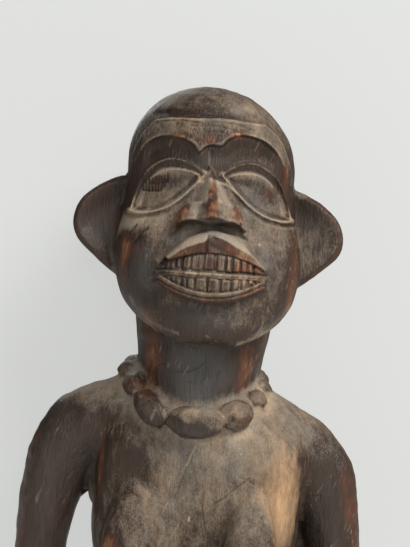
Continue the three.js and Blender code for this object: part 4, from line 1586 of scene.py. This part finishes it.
    def dress_necklace(self, coat: Coat, points: Array, bend: Array) -> None:
        """Leave dust between the beads and around them, and on their upper sides."""
        z = points[:, 2]
        gap = self.carving.bead_gap(points)
        on_bead = step(1.2 - gap, 0, 0.8)
        around = step(9 - gap, 0, 7) * (1 - on_bead) * step(438 - z, 0, 10)
        coat["dust"] += 0.3 * around + on_bead * (0.4 * step(-bend, 0, 0.5) - 0.14)
        # Less painted shade around the beads.
        coat["grime"] -= 0.5 * step(9 - gap, 0, 5) * (gap > 0.6)

    def dress_ears(self, coat: Coat, points: Array) -> None:
        """Keep the ears' bevelled rims clean and red-brown, without the painted grey sheen."""
        for ear in self.carving.ears:
            near = (ear.side * points[:, 0] > 54) & (points[:, 2] > 470) & (points[:, 2] < 554)
            out, behind, edge = ear.plan(points[near])
            rim = step(edge, -3.6, -2.4) * step(out, 56, 62) * step(4 - behind, 0, 2)
            coat["dust"][near] -= 0.4 * rim
            coat["haze"][near] *= 1 - rim
            coat["wear"][near] += 0.35 * rim

    def lay_spots(self, coat: Coat, points: Array) -> None:
        """Add the spots, and take dust and wear off where one lies over them."""
        # The sheen spots lay the painted grey sheen into the colour.
        for group, name, others in (
            (self.dusty, "dust", ()), (self.rubbed, "wear", ("dust",)),
            (self.dark, "polish", ("dust", "wear")), (self.pale, "pale", ()), (self.sheen_spots, "haze", ()),
        ):
            strength = sum(spot.at(points) for spot in group)
            coat[name] += strength
            for other in others:
                coat[other] -= 0.7 * np.minimum(strength, 1)

    def break_up(self, coat: Coat, points: Array, cap: Array, tone: Array) -> None:
        """Break dust and wear up with soft noise, more on the nose and less on the cap."""
        _, y, z = points.T
        settle = cloud(points, (12, 12, 18), 21) * 0.5 + cloud(points, (4, 4, 7), 23) * 0.5
        nose = step(-y, 56, 62) * ramp(z, 514, 546, 2, 4)
        mottle = (cloud(points, (2.2, 4, 2.8), 31) - 0.5) * nose
        rub = cloud(points, (9, 9, 22), 5) * 0.6 + cloud(points, (3, 3, 12), 9) * 0.4
        coat["dust"] *= 1 + 0.5 * (settle - 0.5) * (1 - 0.5 * cap)
        coat["dust"] += 0.5 * mottle - 0.08 * cap * (tone - 0.5)
        coat["wear"] *= 0.5 + rub + 1.3 * mottle
        coat["pale"] *= 0.6 + 0.8 * rub

    def draw_marks(self, coat: Coat, points: Array) -> None:
        """Darken each mark, and whiten it where it is pale. Broad pale marks are dust; the thin pale ones
        are scratches and painted glints of light.
        """
        for mark in self.carving.marks:
            near, gap = self.carving.near_mark(mark, points)
            drawn = bell(gap, mark.width)
            light = "dust" if mark.width > 1 else "scratch"
            for name, strength in (("crack", mark.dark), (light, mark.pale)):
                coat[name][near] = np.maximum(coat[name][near], strength * drawn)

    def masks(self, vertices: Array, triangles: Array) -> Coat:
        """Work out every mask.

        Args:
            vertices: The vertices, one row each.
            triangles: The triangles.

        Returns:
            The masks by name, one value of 0 to 1 for each vertex.
        """
        normal = vertex_normals(vertices, triangles)
        x, y, z = vertices.T
        fine = self.bend(vertices, 1.3, True)
        wide = self.bend(vertices, 5, False)
        _, ridge, tone = self.carving.knife(vertices)
        shelter = self.shelter(vertices, normal)
        head = self.carving.on_head(z)
        up = step(normal[:, 2], -0.25, 0.85)
        ears = step(np.abs(x), 50, 54) * step(z, 440, 460)
        arms = step(np.abs(x), 50, 58) * step(432 - z, 0, 10)
        edge = step(wide, 0.14, 0.5) * (1 - ears) * (1 - arms)
        coat = {
            "dust": 0.08 + 0.27 * up + 0.22 * head * step(fine, 0.3, 1.1) + 0.08 * ridge + 0.18 * tone,
            "wear": 0.22 * edge + 0.14 * step(fine, 0.4, 1.2) * (1 - ears) + 0.12 * ridge,
            "polish": 0.2 + 0.3 * (1 - tone),
            # Painted shade: darker where the wood around closes in, and in hollows.
            "grime": 0.5 * step(shelter, 0.4, 1) + 0.2 * step(-fine, 0.4, 1.2),
            **{name: np.zeros(len(vertices)) for name in ("pale", "haze", "crack", "scratch")},
        }
        cap = step(self.carving.head.cap(vertices)[0], 0, 1) * step(z, 500, 520)
        forehead = (1 - cap) * step(z, 559, 565) * (y < -20)
        coat["dust"] += 0.02 * forehead - 0.12 * cap * (1 + 0.3 * step(np.abs(x), 28, 44))
        self.dress_eyes(coat, vertices)
        self.dress_nose(coat, vertices)
        self.dress_mouth(coat, vertices)
        self.dress_necklace(coat, vertices, fine)
        self.lay_spots(coat, vertices)
        self.dress_ears(coat, vertices)
        self.break_up(coat, vertices, cap, tone)
        self.draw_marks(coat, vertices)
        return {name: np.clip(values, 0, 1) for name, values in coat.items()}


def add_object(name: str, data: bpy.types.ID) -> bpy.types.Object:
    """Put a new object into the scene."""
    made = bpy.data.objects.new(name, data)
    bpy.context.scene.collection.objects.link(made)
    return made


@dataclass
class Wiring:
    """Short ways to make the shader nodes that the finishes use."""

    tree: bpy.types.NodeTree

    def node(self, kind: str, inputs: Inputs | None = None, **values: object) -> bpy.types.Node:
        """Make a node, set its properties and feed its inputs."""
        made = self.tree.nodes.new(kind)
        for name, value in values.items():
            setattr(made, name, value)
        for name, value in (inputs or {}).items():
            self.feed(made.inputs[name], value)
        return made

    def feed(self, socket: Socket, value: object) -> None:
        """Link a socket to another one, or give it a plain value. Colours become opaque."""
        if isinstance(value, bpy.types.NodeSocket):
            self.tree.links.new(value, socket)
        elif isinstance(value, tuple):
            socket.default_value = (*value, 1.0)[:len(socket.default_value)]
        else:
            socket.default_value = value

    def times(self, a: object, b: object) -> Socket:
        """Two values multiplied."""
        return self.math("MULTIPLY", a, b)

    def math(self, operation: str, *values: object) -> Socket:
        """The result of a math node on up to three values."""
        return self.node("ShaderNodeMath", dict(enumerate(values)), operation=operation).outputs[0]

    def place(self, upright: float = 1.0, turn: float = 0.0, kind: str = "POINT") -> Socket:
        """The object's own coordinates, turned about Y by degrees and scaled along Z."""
        return self.node("ShaderNodeMapping", {
            "Vector": self.node("ShaderNodeTexCoord").outputs["Object"],
            "Rotation": (0.0, math.radians(turn), 0.0),
            "Scale": (1.0, 1.0, upright),
        }, vector_type=kind).outputs[0]

    def warped(self, place: Socket, scale: float, amount: float) -> Socket:
        """A place pushed about by soft noise."""
        push = self.node("ShaderNodeTexNoise", {"Vector": place, "Scale": scale}).outputs["Color"]
        inputs = {0: push, 1: (amount, amount, amount), 2: place}
        return self.node("ShaderNodeVectorMath", inputs, operation="MULTIPLY_ADD").outputs[0]

    def cells(self, place: Socket, scale: float) -> Socket:
        """How far a place is from the nearest edge between cells of a scale."""
        inputs = {"Vector": place, "Scale": scale}
        return self.node("ShaderNodeTexVoronoi", inputs, feature="DISTANCE_TO_EDGE").outputs["Distance"]

    def noise(self, place: Socket, scale: float, detail: float = 3.0, rough: float = 0.55) -> Socket:
        """Noise of a scale at a place."""
        inputs = {"Vector": place, "Scale": scale, "Detail": detail, "Roughness": rough}
        return self.node("ShaderNodeTexNoise", inputs).outputs["Fac"]

    def remap(
        self, value: Socket, low: float, high: float, to_low: float = 0.0, to_high: float = 1.0
    ) -> Socket:
        """A value stretched from one range to another, and kept inside it."""
        inputs = dict(enumerate((value, low, high, to_low, to_high)))
        return self.node("ShaderNodeMapRange", inputs).outputs[0]

    def mix(self, factor: object, a: object, b: object) -> Socket:
        """Two colours mixed by a factor."""
        return self.node("ShaderNodeMix", {0: factor, 6: a, 7: b}, data_type="RGBA").outputs[2]

    def about(self, value: Socket, middle: float, amount: object, base: object) -> Socket:
        """A base that a value pushes up and down, by how far it is from its middle."""
        return self.math("MULTIPLY_ADD", self.math("SUBTRACT", value, middle), amount, base)

    def faded(self, mask: object, grain: Socket, low: float, high: float) -> Socket:
        """A mask that is weaker in the hollows of the grain, from a low share to a high one."""
        return self.times(mask, self.remap(grain, 0.0, 1.0, low, high))

    def mask(self, name: str) -> Socket:
        """A mask that is stored on the mesh."""
        return self.node("ShaderNodeAttribute", attribute_name=name).outputs["Fac"]

    def group(self, tree: bpy.types.NodeTree, **values: object) -> bpy.types.Node:
        """Place a group and give its inputs their values, with _ for a space in a name."""
        made = self.node("ShaderNodeGroup", node_tree=tree)
        for name, value in values.items():
            self.feed(made.inputs[name.replace("_", " ")], value)
        return made


def new_material(name: str) -> tuple[bpy.types.Material, Wiring]:
    """Make a material with an empty node tree, and the wiring for it."""
    material = bpy.data.materials.new(name)
    material.use_nodes = True
    material.node_tree.nodes.clear()
    return material, Wiring(material.node_tree)


@dataclass(frozen=True)
class SharedGroup:
    """A shader node group: its inputs with their values, and what makes its nodes and outputs."""

    name: str
    inputs: Sequence[tuple[str, float]]
    wire: Callable[[Wiring, Sockets], dict[str, Socket]]

    def build(self) -> bpy.types.NodeTree:
        """Build the group.

        Returns:
            The node group.
        """
        tree = bpy.data.node_groups.new(self.name, "ShaderNodeTree")
        for name, value in self.inputs:
            socket = tree.interface.new_socket(name, in_out="INPUT", socket_type="NodeSocketFloat")
            socket.default_value = value
        made = self.wire(Wiring(tree), tree.nodes.new("NodeGroupInput").outputs)
        for name in made:
            tree.interface.new_socket(name, in_out="OUTPUT", socket_type="NodeSocketFloat")
        result = tree.nodes.new("NodeGroupOutput")
        for name, socket in made.items():
            tree.links.new(socket, result.inputs[name])
        return tree


def grain_nodes(w: Wiring, given: Sockets) -> dict[str, Socket]:
    """Fine upright grain: broad streaks, thin lines and pores."""
    streak = w.noise(w.place(0.16), 420.0, 4.0, 0.62)
    line = w.noise(w.place(0.09), 1250.0, 3.0, 0.6)
    pore = w.noise(w.place(0.45), 2100.0, 2.0, 0.5)
    thin = w.math("MULTIPLY_ADD", w.remap(line, 0.35, 0.65), 0.65, w.times(pore, 0.35))
    return {
        "Streak": w.times(w.remap(streak, 0.3, 0.7), given["Strength"]),
        "Line": w.times(thin, given["Strength"]),
    }


def wear_nodes(w: Wiring, given: Sockets) -> dict[str, Socket]:
    """Break a wear mask up into rubbed streaks and chips."""
    rub = w.noise(w.place(0.22), 420.0, 5.0, 0.68)
    chip = w.noise(w.place(0.7), 160.0, 3.0, 0.6)
    ragged = w.math("ADD", w.times(rub, 0.7), w.times(chip, 0.5))
    spread = w.about(ragged, 0.6, given["Ragged"], given["Mask"])
    return {"Bare": w.remap(spread, 0.22, 0.85), "Deep": w.remap(spread, 0.6, 1.15)}


def dust_nodes(w: Wiring, given: Sockets) -> dict[str, Socket]:
    """Break a dust mask up into film and specks."""
    film = w.remap(w.noise(w.place(0.6), 190.0, 5.0, 0.68), 0.3, 0.7)
    speck = w.remap(w.noise(w.place(0.8), 1000.0, 4.0, 0.7), 0.3, 0.7)
    pore = w.remap(w.cells(w.warped(w.place(0.7), 260.0, 0.005), 420.0), 0.22, 0.0)
    broken = w.math("MULTIPLY_ADD", film, 0.52, w.times(speck, 0.45))
    broken = w.math("MULTIPLY_ADD", pore, 0.12, broken)
    return {"Film": w.remap(w.about(broken, 0.5, given["Broken"], given["Mask"]), 0.2, 1.0)}


def scratch_nodes(w: Wiring, given: Sockets) -> dict[str, Socket]:
    """Fine curved cracks and straight hair scratches, in short pieces."""
    patch = w.remap(w.noise(w.place(), 50.0, 2.0), 0.5, 0.62)
    crack = w.remap(w.cells(w.warped(w.place(0.6), 70.0, 0.02), 85.0), 0.03, 0.0)
    hair = w.remap(w.noise(w.place(14.0, 24.0, "TEXTURE"), 800.0, 0.0), 0.7, 0.76)
    strength = given["Strength"]
    return {
        "Crack": w.times(w.times(crack, patch), strength),
        "Hair": w.times(w.times(hair, patch), strength),
    }


GRAIN = SharedGroup("upright grain", (("Strength", 1.0),), grain_nodes)
WEAR = SharedGroup("rubbed wear", (("Mask", 0.0), ("Ragged", 1.0)), wear_nodes)
DUST = SharedGroup("settled dust", (("Mask", 0.0), ("Broken", 1.0)), dust_nodes)
SCRATCHES = SharedGroup("cracks and scratches", (("Strength", 1.0),), scratch_nodes)


@dataclass(frozen=True)
class OldWood:
    """Dark carved wood, rubbed red-brown and pale on its edges, with grey-brown dust, and with painted
    shade, painted grey sheen and painted glints in its colour.
    """

    name: str = "old dark wood"
    dark: Triple = (0.0160, 0.0103, 0.0078)
    brown: Triple = (0.053, 0.0295, 0.0195)
    red: Triple = (0.135, 0.043, 0.0165)
    tan: Triple = (0.53, 0.32, 0.17)
    grey_dust: Triple = (0.280, 0.245, 0.200)
    brown_dust: Triple = (0.410, 0.302, 0.200)
    # The grey of the painted sheen: the room reflected in the dark wood.
    sheen_grey: Triple = (0.080, 0.083, 0.080)
    # Painted shade in hollows and gaps, and the dark of cracks.
    shade_and_grime_colour: Triple = (0.008, 0.0065, 0.0055)
    # Pale scratches, and the pale of the painted glints.
    scratch_and_glint_colour: Triple = (0.42, 0.33, 0.2)
    gloss: Triple = (1.0, 0.9, 0.8)
    polished: float = 0.32
    waxed: float = 0.5
    dusty: float = 0.9
    bump_height: float = 0.0005

    def build(self) -> bpy.types.Material:
        """Build the material.

        Returns:
            The material, which reads its masks from the mesh.
        """
        material, w = new_material(self.name)
        grain = w.group(GRAIN.build(), Strength=1.0)
        streak, line = grain.outputs["Streak"], grain.outputs["Line"]
        rubbing = WEAR.build()
        wear = w.group(rubbing, Mask=w.mask("wear"), Ragged=1.1)
        pale = w.group(rubbing, Mask=w.mask("pale"), Ragged=0.9)
        dust = w.group(DUST.build(), Mask=w.mask("dust"), Broken=0.62)
        scratches = w.group(SCRATCHES.build(), Strength=1.0)
        tone = w.math("MULTIPLY_ADD", streak, 0.55, w.times(line, 0.3))
        colour = w.mix(tone, self.dark, self.brown)
        chipped = w.times(wear.outputs["Deep"], w.remap(line, 0.3, 0.9, 0.0, 0.5))
        film = w.faded(dust.outputs["Film"], line, 0.8, 1.0)
        kind = w.remap(w.noise(w.place(0.6), 60.0, 3.0), 0.35, 0.65)
        for amount, coat in (
            (w.faded(wear.outputs["Bare"], line, 0.55, 1.0), self.red),
            (chipped, self.tan),
            (film, w.mix(kind, self.grey_dust, self.brown_dust)),
            # Painted grey sheen: the room's reflection laid into the colour.
            (w.faded(w.mask("haze"), line, 0.5, 0.85), self.sheen_grey),
            (w.faded(pale.outputs["Bare"], line, 0.6, 1.0), self.tan),
            (w.times(scratches.outputs["Crack"], 0.28), self.shade_and_grime_colour),
            (w.times(scratches.outputs["Hair"], 0.3), self.grey_dust),
            # Painted shade: darker in hollows, under the nose and between the teeth.
            (w.mask("grime"), self.shade_and_grime_colour),
            (w.mask("crack"), self.shade_and_grime_colour),
            # Pale scratches and painted glints of light.
            (w.mask("scratch"), self.scratch_and_glint_colour),
        ):
            colour = w.mix(amount, colour, coat)
        rough = w.remap(w.mask("polish"), 0.0, 1.0, self.waxed, self.polished)
        rough = w.about(line, 0.5, 0.2, rough)
        rough = w.math("ADD", rough, w.times(film, self.dusty - self.waxed))
        height = w.math("ADD", w.times(line, 0.7), w.times(streak, 0.6))
        height = w.math("SUBTRACT", height, w.times(wear.outputs["Deep"], 0.35))
        height = w.math("SUBTRACT", height, w.times(scratches.outputs["Crack"], 0.6))
        height = w.math("MULTIPLY_ADD", film, 0.5, height)
        bump = w.node("ShaderNodeBump", {"Strength": 0.8, "Distance": self.bump_height, "Height": height})
        shader = w.node("ShaderNodeBsdfPrincipled", {
            "Base Color": colour,
            "Roughness": w.remap(rough, 0.2, 1.0, 0.2, 1.0),
            "Normal": bump.outputs["Normal"],
            "Specular IOR Level": 0.36,
            "Specular Tint": self.gloss,
        })
        w.node("ShaderNodeOutputMaterial", {"Surface": shader.outputs[0]})
        return material


@dataclass
class FigurePiece:
    """The figure's visible piece: mesh, masks and finish."""

    name: str = "carved_figure"
    node: str = "figure"
    finish: OldWood = OldWood()

    def build(self) -> bpy.types.Object:
        """Mesh the carving, store the masks, dress it and put it in its node's place.

        Returns:
            The figure's object.
        """
        carving = Carving()
        vertices, triangles = Mesher(carving).mesh()
        mesh = bpy.data.meshes.new(self.name)
        mesh.from_pydata((vertices * MM).tolist(), [], triangles.tolist())
        mesh.update()
        mesh.shade_smooth()
        for name, mask in Ageing(carving).masks(vertices, triangles).items():
            layer = mesh.attributes.new(name, "FLOAT", "POINT")
            layer.data.foreach_set("value", mask.astype(np.float32))
        figure = add_object(self.name, mesh)
        mesh.materials.append(self.finish.build())
        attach(figure, "root")
        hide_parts(self.node)
        LOG.info("%s: %d triangles", self.name, len(triangles))
        return figure


@dataclass(frozen=True)
class PaleCard:
    """The matt pale finish of floor and backdrop, seen from its front only."""

    name: str
    colour: Triple
    glow: float
    pale: Triple = (0.985, 1.0, 0.98)

    def build(self) -> bpy.types.Material:
        """Build the material.

        Returns:
            The material, clear when seen from behind.
        """
        material, w = new_material(self.name)
        tooth = w.noise(w.place(), 30.0, 3.0)
        shader = w.node("ShaderNodeBsdfPrincipled", {
            "Base Color": w.mix(tooth, tuple(0.97 * c for c in self.colour), self.colour),
            "Roughness": 0.95,
            "Specular IOR Level": 0.1,
            "Emission Color": w.mix(tooth, self.pale, tuple(0.985 * c for c in self.pale)),
            "Emission Strength": self.glow,
        })
        behind = w.node("ShaderNodeNewGeometry").outputs["Backfacing"]
        clear = w.node("ShaderNodeBsdfTransparent").outputs[0]
        seen = w.node("ShaderNodeMixShader", {0: behind, 1: shader.outputs[0], 2: clear})
        w.node("ShaderNodeOutputMaterial", {"Surface": seen.outputs[0]})
        return material


@dataclass(frozen=True)
class Lamp:
    """One soft square lamp: its place, the height it points at, its side, watts and colour."""

    name: str
    place: Triple
    aim_z: float
    size: float
    power: float
    colour: Triple

    def build(self) -> None:
        """Hang the lamp and turn it to the figure's middle line."""
        light = bpy.data.lights.new(self.name, "AREA")
        light.size, light.energy, light.color = self.size, self.power, self.colour
        lamp = add_object(self.name, light)
        lamp.location = self.place
        way = Vector((0.0, 0.0, self.aim_z)) - lamp.location
        lamp.rotation_euler = way.to_track_quat("-Z", "Y").to_euler()


@dataclass
class Studio:
    """Pale floor and backdrop, soft lights, and the camera at the photograph's angle."""

    distance: float = 0.55
    height: float = 0.4883
    roll: float = 3.7
    seen_height: float = 0.3282
    sensor: float = 36.0
    wall_behind: float = 0.084
    dim_side: Triple = (0.1, 0.1, 0.1)
    bright_side: Triple = (0.42, 0.42, 0.41)
    card_half: float = 2.4
    lamps: Sequence[Lamp] = (
        Lamp("key light", (1.0, -1.1, 1.75), 0.46, 0.8, 46.0, (1.0, 0.98, 0.95)),
        Lamp("side light", (-1.3, -1.3, 0.6), 0.45, 1.2, 3.2, (0.97, 0.98, 1.0)),
        Lamp("front light", (0.12, -1.5, 0.66), 0.46, 0.35, 3.8, (0.96, 0.98, 1.0)),
        Lamp("back light", (-0.5, 1.3, 1.2), 0.35, 0.8, 6.0, (1.0, 1.0, 1.0)),
    )

    def card(self, name: str, corners: Sequence[Triple], finish: PaleCard) -> bpy.types.Object:
        """Make one flat card of four corners.

        Args:
            name: The card's name.
            corners: Its corners, in order round its front.
            finish: What it is made of.

        Returns:
            The card.
        """
        mesh = bpy.data.meshes.new(name)
        mesh.from_pydata(corners, [], [(0, 1, 2, 3)])
        card = add_object(name, mesh)
        mesh.materials.append(finish.build())
        return card

    def build_cards(self) -> None:
        """Lay the floor and stand the backdrop behind the figure."""
        s, y = self.card_half, self.wall_behind
        floor = PaleCard("pale floor", (0.5, 0.507, 0.496), 0.3)
        paper = PaleCard("pale paper", (0.16, 0.162, 0.158), 0.545)
        self.card("floor", ((-s, -s, 0), (s, -s, 0), (s, s, 0), (-s, s, 0)), floor)
        wall = self.card("backdrop", ((-s, y, 0), (s, y, 0), (s, y, s), (-s, y, s)), paper)
        wall.visible_shadow = wall.visible_glossy = wall.visible_diffuse = False

    def build_lights(self) -> None:
        """Light the figure from the upper right, with weak light all round."""
        for lamp in self.lamps:
            lamp.build()
        world = bpy.data.worlds.new("soft room")
        world.use_nodes = True
        background = world.node_tree.nodes["Background"]
        w = Wiring(world.node_tree)
        w.feed(background.inputs["Strength"], 1.0)
        way = w.node("ShaderNodeSeparateXYZ", {0: w.node("ShaderNodeTexCoord").outputs["Generated"]})
        to_key = w.math("SUBTRACT", way.outputs["X"], way.outputs["Y"])
        room = w.mix(w.remap(to_key, -1.2, 1.3), self.dim_side, self.bright_side)
        w.feed(background.inputs["Color"], room)
        bpy.context.scene.world = world

    def build_camera(self) -> None:
        """Set up the camera in front of the face, turned a little about its own axis."""
        data = bpy.data.cameras.new("camera")
        data.sensor_width = self.sensor
        data.lens = self.sensor * self.distance / self.seen_height
        data.clip_start = 0.01
        camera = add_object("camera", data)
        camera.location = (0.0, -self.distance, self.height)
        ahead = Vector((0.0, 1.0, 0.0)).to_track_quat("-Z", "Y")
        camera.rotation_mode = "QUATERNION"
        camera.rotation_quaternion = ahead @ Quaternion((0.0, 0.0, 1.0), math.radians(self.roll))
        bpy.context.scene.camera = camera
        bpy.context.scene.view_settings.view_transform = "Standard"


def main() -> None:
    """Build the stage, the lights, the camera and the figure in order."""
    logging.basicConfig(level=logging.INFO, format="%(name)s: %(message)s")
    studio = Studio()
    studio.build_cards()
    studio.build_lights()
    studio.build_camera()
    LOG.info("studio ready")
    FigurePiece().build()


if __name__ == "__main__":
    main()
